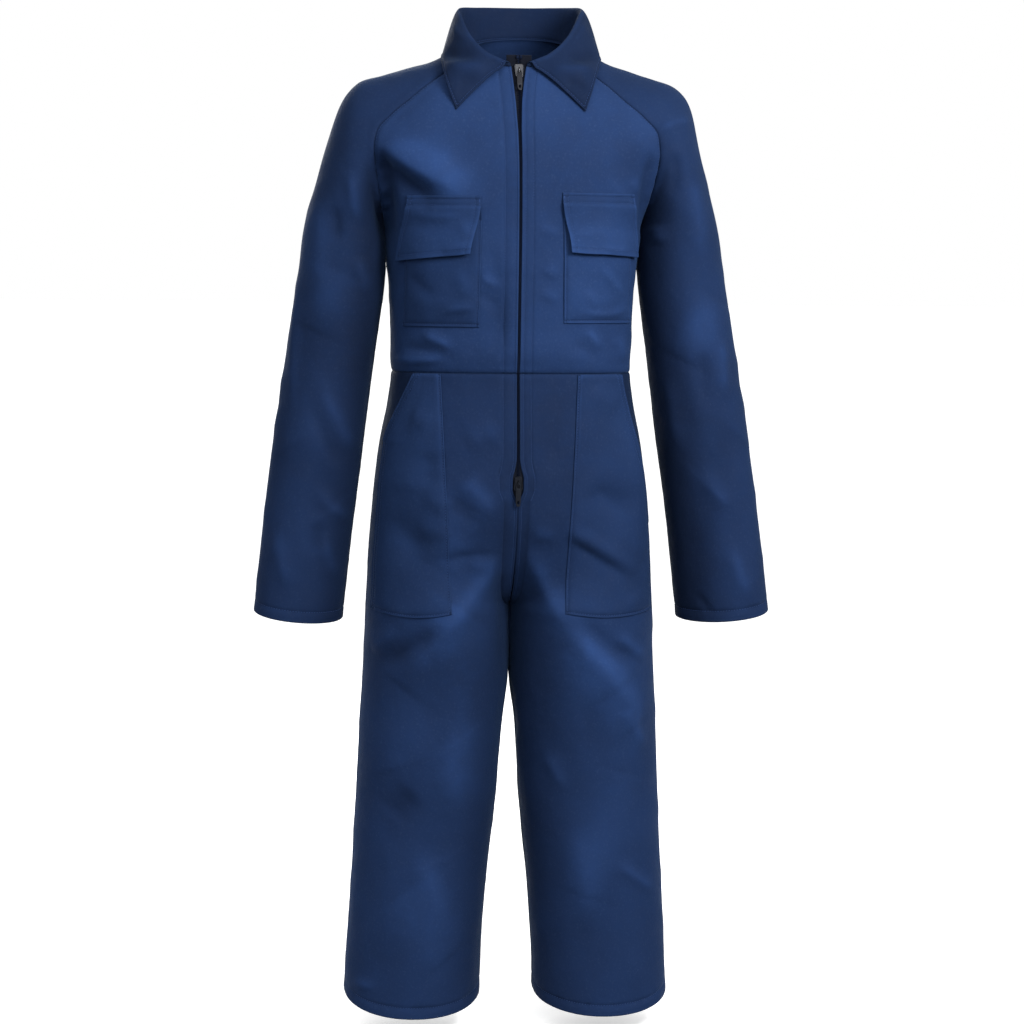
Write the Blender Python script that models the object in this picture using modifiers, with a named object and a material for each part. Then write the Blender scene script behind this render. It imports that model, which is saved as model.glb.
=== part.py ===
"""A child's zip-front boiler suit, modelled piece by piece as it is cut and sewn.

The suit keeps the hollow, filled-out form of a worn garment. The front faces -Y, +Z is up, and
the wearer's left is +X. The origin is the middle of the neck, level with the top of the shoulders.
Sizes in the tables are millimetres. Each row of a table is one section or one station.
"""

from itertools import product

import bmesh
import bpy
import numpy as np
from mathutils import Matrix, Vector
from mathutils.bvhtree import BVHTree

MM = 0.001
CLOTH = 1.2
TAPE = 0.9
SEAM_GAP = 0.3
SEAM_INSET = 0.4
WAIST_Z = -345.0
CORNER_POWER = 0.86
NECK_TURN = 0.11
NECK_TURN_LOW_Z = -120.0
NECK_TURN_HIGH_Z = 10.0
NECK_FRONT_Y = -64.0


def table(names, *rows):
    """A dictionary of columns from rows of numbers under space-separated names."""
    return dict(zip(names.split(), np.array(rows, float).T))


# Sections of the two front panels and the back, from the waist (0) by the underarm (1) to the neck (2).
BODICE = table(
    "step front_z front_y front_sweep back_z back_y back_sweep side_x",
    (0.00, -345, -90, 90, -345, 84, 90, 136.0),
    (0.10, -331, -95, 90, -331, 90, 90, 137.0),
    (0.35, -293, -98, 90, -293, 93, 90, 138.0),
    (0.65, -244, -101, 90, -244, 95, 90, 140.0),
    (1.00, -188, -103, 90, -188, 96, 90, 143.8),
    (1.09, -147, -102, 82, -146, 96, 84, 144.0),
    (1.18, -106, -98, 72, -98, 94, 76, 144.0),
    (1.28, -78, -93, 64, -62, 89, 68, 144.0),
    (1.40, -60, -88, 58, -38, 83, 62, 144.0),
    (1.55, -43, -82, 56, -16, 76, 58, 144.0),
    (1.70, -28, -76, 56, 4, 70, 58, 144.0),
    (1.85, -15, -70, 58, 21, 64, 60, 144.0),
    (2.00, -3, -64, 62, 36, 58, 64, 144.0),
)

# Sections of the raglan sleeve, from the neck (0) by the underarm (1) to the cuff (2).
SLEEVE = table(
    "step front_x front_z back_x back_z crown_x crown_y crown_z front_reach back_reach start drop",
    (0.00, 60, 4, 50, 29, 68, 6, 22, 37, 36, 100, 0),
    (0.15, 80, -9, 70, 17, 97, 5, 6, 50, 48, 108, 0),
    (0.30, 101, -24, 92, 1, 126, 4, -3, 61, 58, 110, 0),
    (0.45, 122, -42, 114, -16, 156, 3, -13, 67, 64, 109, 0),
    (0.60, 143, -60, 136, -38, 184, 2, -24, 69, 67, 105, 0),
    (0.72, 158, -79, 152, -62, 200, 0, -47, 68, 67, 96, 0),
    (0.82, 160, -107, 156, -99, 211, -1, -86, 67, 66, 72, 0),
    (0.91, 153, -147, 151, -144, 223, -2, -133, 63, 63, 40, 0),
    (1.00, 144.7, -188, 144.7, -188, 235, -3, -178, 58, 58, 0, 0),
    (1.15, 146, -246, 146, -246, 243, -5, -234, 54, 54, 0, 0),
    (1.35, 156, -333, 156, -333, 257, -8, -320, 51, 51, 0, 1),
    (1.55, 168, -428, 168, -428, 272, -12, -416, 49, 49, 0, 2),
    (1.75, 180, -522, 180, -522, 284, -16, -511, 47, 47, 0, 4),
    (2.00, 191, -626, 191, -626, 296, -20, -616, 45, 45, 0, 6),
)

# How far the two arms hang apart from the table's even pair, at the cuff.
HANG = {"front_x": {-1: 0.0, 1: 3.5}, "crown_x": {-1: -3.5, 1: 2.5}}

# Sections of one trouser leg, from the waist through the seat to the hem. The trunk section is half
# of the seat, the leg section is a whole ring, and split says how far the one has become the other.
TROUSER = table(
    "step side_z edge_z side_x trunk_front trunk_back split inner_x leg_front leg_back drop",
    (0.00, -345, -345, 136.0, -90, 84, 0.000, 0.5, -90, 84, 0),
    (0.06, -382, -382, 141.0, -95, 92, 0.000, 0.5, -90, 84, 0),
    (0.13, -425, -425, 149.5, -99, 102, 0.000, 0.5, -90, 84, 0),
    (0.20, -468, -474, 155.0, -101, 109, 0.010, 0.5, -92, 88, 0),
    (0.26, -500, -522, 158.0, -101, 112, 0.076, 0.6, -94, 92, 0),
    (0.31, -530, -566, 160.5, -99, 112, 0.293, 0.8, -96, 96, 0),
    (0.36, -560, -594, 162.5, -97, 110, 0.546, 0.9, -97, 97, 0),
    (0.41, -588, -607, 163.5, -96, 108, 0.767, 1.0, -97, 96, 0),
    (0.46, -618, -613, 165.0, -95, 106, 1.000, 1.0, -96, 94, 0),
    (0.52, -652, -646, 166.0, -94, 104, 1.000, 0.7, -93, 91, 0),
    (0.58, -692, -690, 168.0, -94, 104, 1.000, 1.4, -89, 87, 0),
    (0.66, -748, -748, 171.0, -94, 104, 1.000, 7.0, -84, 83, 0),
    (0.76, -842, -842, 175.5, -94, 104, 1.000, 15.0, -79, 80, 1),
    (0.86, -930, -930, 180.0, -94, 104, 1.000, 23.5, -75, 78, 4),
    (0.94, -1002, -1002, 184.5, -94, 104, 1.000, 28.5, -73, 77, 11),
    (1.00, -1060, -1060, 187.5, -94, 104, 1.000, 30.5, -72, 77, 20),
)

# Half the slit that the zip shows in, up the front.
ZIP_EDGE = table(
    "z half_gap",
    (-490, 0.0),
    (-482, 3.2),
    (-476, 5.9),
    (-459, 5.9),
    (-452, 3.6),
    (-440, 1.9),
    (-345, 1.8),
    (-120, 1.9),
    (-75, 2.6),
    (-45, 4.2),
    (-24, 6.4),
    (-3, 8.5),
    (20, 10.0),
)

# Stations of the collar, from its front end (0) to the middle of the back (1): the roll line at the
# top, and the free edge of the turned-down fall. The neck seam follows the bodice and the sleeves.
COLLAR = table(
    "step roll_x roll_y roll_z edge_x edge_y edge_z",
    (0.00, 13, -69, 10, 70, -86, -51),
    (0.18, 30, -64, 24, 80, -76, -24),
    (0.36, 51, -44, 41, 86, -50, -4),
    (0.54, 65, -10, 56, 90, -10, 9),
    (0.70, 65, 22, 66, 84, 34, 15),
    (0.85, 42, 50, 70, 54, 70, 18),
    (1.00, 0, 61, 68, 0, 84, 20),
)
COLLAR_CLEAR = 2.6
COLLAR_ROLL = 9.0
COLLAR_FALL_DOWN = np.array([0.14, 0.3, 0.48, 0.66, 0.84, 1.0])
COLLAR_STATIONS = 14
NECK_RISE = 1.4
NECK_POINTS = 40

# Soft folds big enough to change the form: ends in the front view, half width and height.
# A positive height stands proud and a negative one is a trough.
FRONT_FOLDS = table(
    "x1 z1 x2 z2 width height",
    (-150, -92, -58, -142, 24, 3.6),
    (-146, -128, -92, -160, 22, -3.0),
    (148, -100, 112, -140, 24, -3.0),
    (-92, -560, -58, -494, 26, 3.0),
    (-62, -610, -126, -700, 30, 4.5),
    (62, -505, 142, -560, 26, 3.0),
    (40, -590, 116, -700, 28, 4.5),
    (64, -650, 138, -745, 28, 3.0),
    (-150, -640, -66, -760, 32, -3.5),
    (-132, -790, -92, -900, 34, -3.0),
    (128, -800, 84, -940, 34, 3.5),
    (-130, -940, -70, -1010, 34, 3.0),
    (-226, -300, -196, -236, 26, 3.5),
    (-254, -430, -206, -500, 28, -3.5),
    (228, -262, 192, -330, 26, 3.5),
    (264, -420, 220, -470, 28, -3.5),
)
BACK_FOLDS = table(
    "x1 z1 x2 z2 width height",
    (-136, -124, -70, -190, 28, 3.5),
    (138, -128, 78, -186, 28, 3.5),
    (-54, -585, -120, -540, 28, 3.5),
    (52, -590, 126, -548, 28, 3.5),
    (-60, -630, -130, -740, 30, 4.0),
    (56, -640, 118, -760, 30, 4.0),
    (-126, -820, -80, -930, 34, -3.5),
    (130, -850, 78, -950, 34, -3.5),
    (-238, -330, -204, -262, 28, 3.5),
    (240, -350, 198, -280, 28, 3.5),
    (-262, -470, -212, -530, 28, -3.5),
    (266, -480, 222, -540, 28, -3.5),
)

# Outlines in the front view. Inner is the side by the zip and outer the side by the arm.
CHEST_POCKET = {"inner": 47, "outer": 129, "top": -159, "bottom": -290, "splay": 2, "puff": 3.0}
CHEST_FLAP = {"inner": 47, "outer": 130, "top": -147, "bottom": -209, "slope": 7, "splay": 4, "gape": 4.5}
HIP_POCKET = {
    "top_inner": {-1: 85.0, 1: 67.0},
    "low_inner": {-1: 72.5, 1: 54.5},
    "top_outer": {-1: 113.0, 1: 120.0},
    "opening_low": {-1: -430.0, 1: -524.0},
    "bottom": -613.0,
    "sag": 5.0,
    "from_side": 5.0,
    "gape": 2.5,
}
PATCH_CLEAR = 0.8
FLAP_CLEAR = 0.6
PATCH_ACROSS = 1 - (1 - np.linspace(0, 1, 10)) ** 1.5
FLAP_DOWN = np.array([0, 0.07, 0.16, 0.3, 0.5, 0.75, 1])
CHECKED_SHARES = (0, 0.33, 0.67, 1)
IN_FRONT_Y = -500.0

ZIP_TOP_Z = 8.0
ZIP_LOW_ROW = 7
TAPE_ACROSS = np.array([0.25, 7.0, 14.0])
TAPE_GAP = 0.9
SLIDER_GAP = 1.2
SLIDER_REACH = {"up": 3.0, "down": 15.0}
SLIDER_Z = {"top": -9.0, "bottom": -467.0}
SLIDER = {"half_width": 4.9, "half_height": 8.0, "depth": 3.2, "taper": 0.78, "bevel": 0.9}
BAIL = {"radius": 3.1, "wire": 0.7, "axis_out": 1.2}
PULL = {"top": 0.7, "bottom": -25.5, "half_width": 2.9, "thickness": 1.2}
PULL_EYE = {"top": -0.65, "bottom": -5.0, "half_width": 1.5}
PULL_CORNER = 0.6
RING_POINTS = 24

ACROSS = 9
SLEEVE_AROUND = 19
RAGLAN_STEPS = np.array([0, 0.08, 0.16, 0.25, 0.34, 0.43, 0.52, 0.6, 0.67, 0.74, 0.8, 0.86, 0.93, 1.0])
BODICE_STEPS = np.concatenate([np.linspace(0, 0.88, 6), 2 - RAGLAN_STEPS[::-1]])
SLEEVE_STEPS = np.concatenate([RAGLAN_STEPS, np.linspace(1.08, 2, 12)])
SEAT_STEPS = np.concatenate([np.linspace(0, 0.2, 7), np.linspace(0.23, 0.46, 9)])
TROUSER_STEPS = np.concatenate([SEAT_STEPS, np.linspace(0.5, 1, 11)])

NAVY = (0.026, 0.062, 0.165)
POCKET_NAVY = (0.028, 0.066, 0.175)
TAPE_BLACK = (0.012, 0.014, 0.02)
NICKEL = (0.66, 0.66, 0.68)
DARK_NICKEL = (0.13, 0.12, 0.13)


def along(rows, column, at, key="step"):
    """A smooth curve through one column of a table, read at the given places."""
    x, y = rows[key], rows[column]
    gaps, slopes = np.diff(x), np.diff(y) / np.diff(x)
    inner = (slopes[1:] * gaps[:-1] + slopes[:-1] * gaps[1:]) / (gaps[1:] + gaps[:-1])
    tangent = np.concatenate([slopes[:1], inner, slopes[-1:]])
    at = np.clip(at, x[0], x[-1])
    i = np.clip(np.searchsorted(x, at, side="right") - 1, 0, len(gaps) - 1)
    t = (at - x[i]) / gaps[i]
    return (
        y[i] * (1 + 2 * t) * (1 - t) ** 2
        + y[i + 1] * t * t * (3 - 2 * t)
        + gaps[i] * (tangent[i] * t * (1 - t) ** 2 - tangent[i + 1] * t * t * (1 - t))
    )


def ease(value, low, high):
    """0 at low, 1 at high, with soft ends."""
    t = np.clip((value - low) / (high - low), 0, 1)
    return t * t * (3 - 2 * t)


def sleeve_surface(turn, step, side=1):
    """A point of the sleeve. turn runs 0 to 1 from the front seam over the crown to the back seam."""
    row = {name: along(SLEEVE, name, step) for name in SLEEVE}
    hang = np.maximum(step - 1, 0)
    for name in ("front_x", "crown_x"):
        row[name] = row[name] + HANG[name][side] * hang
    behind = turn > 0.5
    start = np.radians(np.where(step < 1, row["start"], 0))
    back_seam = behind & (step < 1)
    low_x = np.where(back_seam, row["back_x"], row["front_x"])
    low_z = np.where(back_seam, row["back_z"], row["front_z"])
    reach = np.where(behind, row["back_reach"], -row["front_reach"])
    angle = start + (np.pi - start) * (1 - np.abs(2 * turn - 1))
    middle_x = (low_x + row["crown_x"] * np.cos(start)) / (1 + np.cos(start))
    middle_z = (low_z + row["crown_z"] * np.cos(start)) / (1 + np.cos(start))
    x = middle_x - (row["crown_x"] - middle_x) * np.cos(angle)
    y = row["crown_y"] * (1 - np.cos(angle)) / 2 + reach * np.sin(angle)
    z = middle_z - (row["crown_z"] - middle_z) * np.cos(angle)
    z = z + row["drop"] * np.sin(angle) * np.where(behind, 1, -1)
    return np.stack([side * x, y, z], -1)


def bodice_surface(across, step, side=1, back=False):
    """A point of the front or back. across runs 0 to 1 from the middle to the side or raglan seam."""
    face = "back" if back else "front"
    middle_y, middle_z = along(BODICE, face + "_y", step), along(BODICE, face + "_z", step)
    sweep = np.radians(along(BODICE, face + "_sweep", step))
    raglan = sleeve_surface(np.full(np.shape(step), 1.0 if back else 0.0), 2 - np.maximum(step, 1))
    side_x, side_z = along(BODICE, "side_x", step), along(BODICE, "front_z", step)
    seam = np.stack([side_x, np.zeros_like(step), side_z], -1)
    seam = np.where((step > 1)[..., None], raglan, seam)
    angle = sweep * across
    out = (np.sin(angle) / np.sin(sweep)) ** CORNER_POWER
    ahead, last = (np.maximum(np.cos(a), 0) ** CORNER_POWER for a in (angle, sweep))
    round_y = (1 - ahead) / (1 - last)
    x = seam[..., 0] * out
    y = middle_y + (seam[..., 1] - middle_y) * round_y
    z = middle_z + (seam[..., 2] - middle_z) * across**2
    return np.stack([side * x, y, z], -1)


def trouser_surface(across, step, side=1, back=False):
    """A point of one leg. across runs 0 to 1 from the rise or inseam to the side seam."""
    row = {name: along(TROUSER, name, step) for name in TROUSER}
    split = np.clip(row["split"], 0, 1)
    trunk_y = row["trunk_back"] if back else row["trunk_front"]
    leg_y = row["leg_back"] if back else row["leg_front"]
    quarter, half = across * np.pi / 2, across * np.pi
    trunk_x = row["side_x"] * np.sin(quarter) ** CORNER_POWER
    trunk_y = trunk_y * np.cos(quarter) ** CORNER_POWER
    middle_x, half_x = (row["side_x"] + row["inner_x"]) / 2, (row["side_x"] - row["inner_x"]) / 2
    leg_x = middle_x - half_x * np.cos(half)
    leg_y = leg_y * np.sin(half) ** CORNER_POWER
    x = trunk_x * (1 - split) + leg_x * split
    y = trunk_y * (1 - split) + leg_y * split
    z = row["side_z"] + (row["edge_z"] - row["side_z"]) * (1 - across) ** 2
    z = z + row["drop"] * np.sin(half) * (1 if back else -1)
    return np.stack([side * x, y, z], -1)


def zip_gap(z):
    return np.interp(z, ZIP_EDGE["z"], ZIP_EDGE["half_gap"])


def posed(points):
    """The neck is turned a little against the shoulders, so its back lies further to the wearer's left."""
    high = ease(points[..., 2], NECK_TURN_LOW_Z, NECK_TURN_HIGH_Z)
    moved = points.copy()
    moved[..., 0] += NECK_TURN * high * (points[..., 1] - NECK_FRONT_Y)
    return moved


def unposed(points):
    """The opposite of posed, which moves points by their own depth and height alone."""
    return 2 * points - posed(points)


def normals(points):
    """Unit normals of a grid of points, by the cross product of its two directions."""
    rows, columns = np.gradient(points, axis=0), np.gradient(points, axis=1)
    found = np.cross(columns, rows)
    return found / np.maximum(np.linalg.norm(found, axis=-1, keepdims=True), 1e-9)


def fold_height(points, folds):
    """How far the soft folds lift each point, from its place in the front view."""
    x, z = points[..., 0], points[..., 2]
    lift = np.zeros(x.shape)
    for x1, z1, x2, z2, width, height in zip(*folds.values()):
        run = np.array([x2 - x1, z2 - z1])
        share = ((x - x1) * run[0] + (z - z1) * run[1]) / (run @ run)
        t = np.clip(share, 0, 1)
        away = np.hypot(x - x1 - t * run[0], z - z1 - t * run[1])
        lift += height * np.exp(-((away / width) ** 2)) * np.sqrt(np.clip(4 * t * (1 - t), 0, 1))
    return lift


def edge_fade(rows, columns):
    """0 on a panel's seams and 1 inside it, so that seams stay where the tables put them."""
    from_ends = np.minimum(np.arange(rows), np.arange(rows)[::-1])
    from_sides = np.minimum(np.arange(columns), np.arange(columns)[::-1])
    return np.clip(from_ends / 2, 0, 1)[:, None] * np.clip(from_sides / 2.5, 0, 1)[None, :]


def grid_of(surface, across, steps, **options):
    """The points of a surface on every pair of the two lists, steps down the rows."""
    return surface(*np.meshgrid(across, steps), **options)


def new_material(name, colour, roughness, metallic=0.0):
    material = bpy.data.materials.new(name)
    material.use_nodes = True
    shader = material.node_tree.nodes["Principled BSDF"]
    shader.inputs["Base Color"].default_value = (*colour, 1)
    shader.inputs["Roughness"].default_value = roughness
    shader.inputs["Metallic"].default_value = metallic
    return material


def add_object(name, mesh, material):
    mesh.materials.clear()
    mesh.materials.append(material)
    made = bpy.data.objects.new(name, mesh)
    bpy.data.collections["boiler_suit"].objects.link(made)
    return made


def add_cloth(name, points, material, facing, thickness=CLOTH, inset=SEAM_INSET, tube_from=None):
    """A cloth wall on a grid of outer points in millimetres, thickened to its inner side.

    facing is 1 where the grid's own normal looks outwards and -1 where it looks in. Edges are drawn
    in by inset. From row tube_from on, the first and last columns are sewn into a tube.
    """
    rows, columns = points.shape[:2]
    drawn = points.copy()
    for edge, inner in ((0, 1), (-1, -2)):
        for strip in (np.s_[edge, :], np.s_[:tube_from, edge]):
            beside = np.s_[inner, :] if strip[0] == edge else np.s_[:tube_from, inner]
            step = points[strip] - points[beside]
            drawn[strip] -= step / np.linalg.norm(step, axis=-1, keepdims=True) * inset
    sheet = bmesh.new()
    bmesh.ops.create_grid(sheet, x_segments=columns - 1, y_segments=rows - 1, size=1)
    for vertex, place in zip(sheet.verts, posed(drawn).reshape(-1, 3) * MM):
        vertex.co = place
    bmesh.ops.remove_doubles(sheet, verts=sheet.verts, dist=1e-6)
    if facing < 0:
        bmesh.ops.reverse_faces(sheet, faces=sheet.faces)
    bmesh.ops.triangulate(sheet, faces=sheet.faces, quad_method="SHORT_EDGE")
    mesh = bpy.data.meshes.new(name)
    sheet.to_mesh(mesh)
    sheet.free()
    mesh.shade_smooth()
    made = add_object(name, mesh, material)
    wall = made.modifiers.new("wall", "SOLIDIFY")
    wall.thickness = thickness * MM
    wall.offset = -1
    wall.use_even_offset = False
    return made


def wrinkled(points, folds, facing):
    """A panel's points with the soft folds raised along its outward normals."""
    lift = fold_height(points, folds) * edge_fade(*points.shape[:2])
    return points + normals(points) * facing * lift[..., None]


def tree_of(*panels):
    """A search tree over the outer faces of panels."""
    points, faces = [], []
    for panel in panels:
        faces += [[index + len(points) for index in face.vertices] for face in panel.data.polygons]
        points += [vertex.co / MM for vertex in panel.data.vertices]
    return BVHTree.FromPolygons(points, faces)


def patch(tree, x, z, lift, facing):
    """Points of a piece that lies on a panel, found from in front and lifted off it."""
    here = np.empty(x.shape + (3,))
    for place in np.ndindex(x.shape):
        here[place] = tree.ray_cast(Vector((x[place], IN_FRONT_Y, z[place])), Vector((0, 1, 0)))[0]
    outward = normals(here) * facing
    points = here + outward * (lift + PATCH_CLEAR)[..., None]
    corners = (np.s_[:-1, :-1], np.s_[:-1, 1:], np.s_[1:, :-1], np.s_[1:, 1:])
    for _ in range(3):
        raised = np.zeros(x.shape)
        for down, right in product(CHECKED_SHARES, repeat=2):
            shares = ((1 - down) * (1 - right), (1 - down) * right, down * (1 - right), down * right)
            between = sum(share * points[corner] for share, corner in zip(shares, corners))
            short = np.linalg.norm(held_off(tree, between, CLOTH + 3 * SEAM_GAP) - between, axis=-1)
            for corner in corners:
                raised[corner] = np.maximum(raised[corner], short)
        points = points + outward * raised[..., None]
    return points


def held_off(tree, points, lift):
    """Points pushed out where they would lie closer than lift to the panels."""
    moved = points.copy()
    for place in np.ndindex(points.shape[:2]):
        point = Vector(moved[place])
        for _ in range(4):
            near, outward, _, _ = tree.find_nearest(point)
            point += outward * max(lift - (point - near).dot(outward), 0)
        moved[place] = point
    return moved


def build_bodice(cloth):
    columns = np.linspace(0, 1, ACROSS)
    fronts = {}
    for side, word in ((-1, "right"), (1, "left")):
        points = grid_of(bodice_surface, columns, BODICE_STEPS, side=side)
        points[..., 0] += side * (1 - columns) ** 2 * zip_gap(points[:, :1, 2])
        fronts[side] = add_cloth(f"front_{word}", wrinkled(points, FRONT_FOLDS, side), cloth, side)
    across = np.concatenate([-columns[:0:-1], columns])
    points = grid_of(bodice_surface, np.abs(across), BODICE_STEPS, back=True)
    points[..., 0] *= np.where(across < 0, -1, 1)
    return fronts, add_cloth("back", wrinkled(points, BACK_FOLDS, -1), cloth, -1)


def build_sleeves(cloth):
    sleeves = []
    for side, word in ((-1, "right"), (1, "left")):
        points = grid_of(sleeve_surface, np.linspace(0, 1, SLEEVE_AROUND), SLEEVE_STEPS, side=side)
        outward = normals(points) * -side
        front = fold_height(points, FRONT_FOLDS) * ease(-outward[..., 1], -0.2, 0.5)
        behind = fold_height(points, BACK_FOLDS) * ease(outward[..., 1], -0.2, 0.5)
        points = points + outward * ((front + behind) * edge_fade(*points.shape[:2]))[..., None]
        tube_from = len(RAGLAN_STEPS) - 1
        sleeves.append(add_cloth(f"sleeve_{word}", points, cloth, -side, tube_from=tube_from))
    return sleeves


def build_trousers(cloth):
    columns = np.linspace(0, 1, ACROSS)
    fronts = {}
    for side, word in ((-1, "right"), (1, "left")):
        points = grid_of(trouser_surface, columns, TROUSER_STEPS, side=side)
        points[..., 0] += side * (1 - columns) ** 2 * zip_gap(points[:, :1, 2])
        fronts[side] = add_cloth(f"leg_front_{word}", wrinkled(points, FRONT_FOLDS, -side), cloth, -side)
        points = grid_of(trouser_surface, columns, TROUSER_STEPS, side=side, back=True)
        add_cloth(f"leg_back_{word}", wrinkled(points, BACK_FOLDS, side), cloth, side)
    return fronts


def neck_seam(station):
    """Points of the neck edge, from the zip (0) over the sleeve to the middle of the back (1)."""
    t = np.linspace(0, 1, NECK_POINTS)
    top = np.full(NECK_POINTS, 2.0)
    front = bodice_surface(t, top)
    front[:, 0] += (1 - t) ** 2 * zip_gap(front[:, 2])
    line = np.concatenate([front, sleeve_surface(t, 2 - top), bodice_surface(t[::-1], top, back=True)])
    length = np.concatenate([[0], np.cumsum(np.linalg.norm(np.diff(line, axis=0), axis=1))])
    return np.stack([np.interp(station * length[-1], length, line[:, i]) for i in range(3)], -1)


def build_collar(cloth, body):
    """One turned-down collar: across each station the stand rises, rolls over and falls."""
    half = np.linspace(0, 1, COLLAR_STATIONS)
    stations = np.concatenate([half, 2 - half[-2::-1]])
    mirrored = np.minimum(stations, 2 - stations)
    side = np.where(stations > 1, -1.0, 1.0)
    neck = neck_seam(mirrored)
    roll = np.stack([along(COLLAR, f"roll_{axis}", mirrored) for axis in "xyz"], -1)
    edge = np.stack([along(COLLAR, f"edge_{axis}", mirrored) for axis in "xyz"], -1)
    rise = np.linspace(0, 1, 5)[:, None, None]
    over = neck + (roll - neck) * (0, 0, 1)
    stand = neck * (1 - rise) ** 2 + 2 * over * rise * (1 - rise) + roll * rise**2
    away = (edge - roll) * (1, 1, 0)
    away /= np.linalg.norm(away, axis=-1, keepdims=True)
    fallen = COLLAR_FALL_DOWN[:, None, None]
    shoulder = roll + away * COLLAR_ROLL
    fall = roll * (1 - fallen) ** 2 + 2 * shoulder * fallen * (1 - fallen) + edge * fallen**2
    stand[..., 2] += NECK_RISE
    for line in (stand, fall):
        line[..., 0] *= side
    fall = held_off(body, posed(fall), COLLAR_CLEAR)
    points = np.concatenate([posed(stand), fall])
    add_cloth("collar", unposed(points), cloth, -1, inset=0)


def chest_puff(across, z):
    """How far the empty chest pocket stands off the chest."""
    box = CHEST_POCKET
    inside = ease(box["top"] - z, 0, 40) * ease(z - box["bottom"], 0, 30)
    return box["puff"] * np.sin(np.pi * across) * inside


def build_chest_pockets(cloth, fronts):
    box, flap = CHEST_POCKET, CHEST_FLAP
    for side, word in ((-1, "right"), (1, "left")):
        tree = tree_of(fronts[side])
        across, down = np.meshgrid(PATCH_ACROSS, np.linspace(0, 1, 10))
        x = side * (box["inner"] + (box["outer"] - box["inner"]) * across + box["splay"] * down)
        z = box["top"] + (box["bottom"] - box["top"]) * down
        points = patch(tree, x, z, CLOTH + chest_puff(across, z), -side)
        add_cloth(f"chest_pocket_{word}", points, cloth, -side, inset=0)
        across, down = np.meshgrid(PATCH_ACROSS, FLAP_DOWN)
        out = flap["inner"] + (flap["outer"] - flap["inner"]) * across
        x = side * (out + flap["splay"] * ease(down, 0, 1))
        slope = flap["slope"] * ease(down, 0.1, 1) * across
        z = flap["top"] + (flap["bottom"] - flap["top"]) * down - slope
        lift = CLOTH + ease(down, 0, 0.14) * (CLOTH + PATCH_CLEAR + FLAP_CLEAR) + chest_puff(across, z)
        gape = flap["gape"] * ease(down, 0.35, 1) * (1 - 0.7 * across)
        points = patch(tree, x, z, lift + gape, -side)
        add_cloth(f"chest_flap_{word}", points, cloth, -side, inset=0)


def build_hip_pockets(cloth, fronts):
    box = HIP_POCKET
    for side, word in ((-1, "right"), (1, "left")):
        across, down = np.meshgrid(PATCH_ACROSS, np.linspace(0, 1, 15))
        low = box["bottom"] - box["sag"] * np.sin(np.pi * across)
        z = WAIST_Z - SEAM_INSET - 0.5 + (low - WAIST_Z) * down
        step = np.interp(-z, -TROUSER["side_z"], TROUSER["step"])
        side_x = along(TROUSER, "side_x", step) - box["from_side"]
        top_outer, opening_low = box["top_outer"][side], box["opening_low"][side]
        sunk = np.clip((WAIST_Z - z) / (WAIST_Z - opening_low), 0, 1)
        outer = top_outer + (side_x - top_outer) * np.sin(np.pi / 2 * sunk) ** 0.8
        inner = box["top_inner"][side] + (box["low_inner"][side] - box["top_inner"][side]) * down
        gape = box["gape"] * ease(across, 0.5, 0.9) * np.sin(np.pi * np.clip(down * 1.5, 0, 1))
        x = side * (inner + (outer - inner) * across)
        points = patch(tree_of(fronts[side]), x, z, CLOTH + gape, -side)
        add_cloth(f"hip_pocket_{word}", points, cloth, -side, inset=0)


def centre_line(bodice_steps, trouser_steps):
    """Heights and depths down the middle of the front, from the neck through the waist."""
    upper = bodice_surface(np.zeros(len(bodice_steps)), bodice_steps)
    lower = trouser_surface(np.zeros(len(trouser_steps)), trouser_steps)
    line = np.concatenate([upper, lower])
    return line[:, 2], line[:, 1]


def front_centre(z):
    """The depth of the middle of the front at a height."""
    z_of, y_of = centre_line(np.linspace(2, 0, 200), np.linspace(0, 0.4, 200))
    return np.interp(z, z_of[::-1], y_of[::-1])


def build_zip_tapes(tape):
    z, y = centre_line(BODICE_STEPS[::-1], TROUSER_STEPS[:ZIP_LOW_ROW])
    above = y[0] + (ZIP_TOP_Z - z[0]) * (y[1] - y[0]) / (z[1] - z[0])
    across, down = np.meshgrid(TAPE_ACROSS, np.concatenate([[ZIP_TOP_Z], z]))
    depth = np.concatenate([[above], y])[:, None] + CLOTH + TAPE_GAP + 0 * across
    for side, word in ((-1, "right"), (1, "left")):
        points = np.stack([side * across, depth, down], -1)
        add_cloth(f"zip_tape_{word}", points, tape, -side, thickness=TAPE, inset=0)


def add_solid(name, built, material, place, lean):
    """A finished bmesh as an object at place, in millimetres, leaning about its own X axis."""
    bmesh.ops.transform(built, matrix=Matrix.Rotation(lean, 4, "X"), verts=built.verts)
    bmesh.ops.scale(built, vec=Vector((MM, MM, MM)), verts=built.verts)
    mesh = bpy.data.meshes.new(name)
    built.to_mesh(mesh)
    built.free()
    made = add_object(name, mesh, material)
    made.location = Vector(place) * MM
    return made


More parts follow.
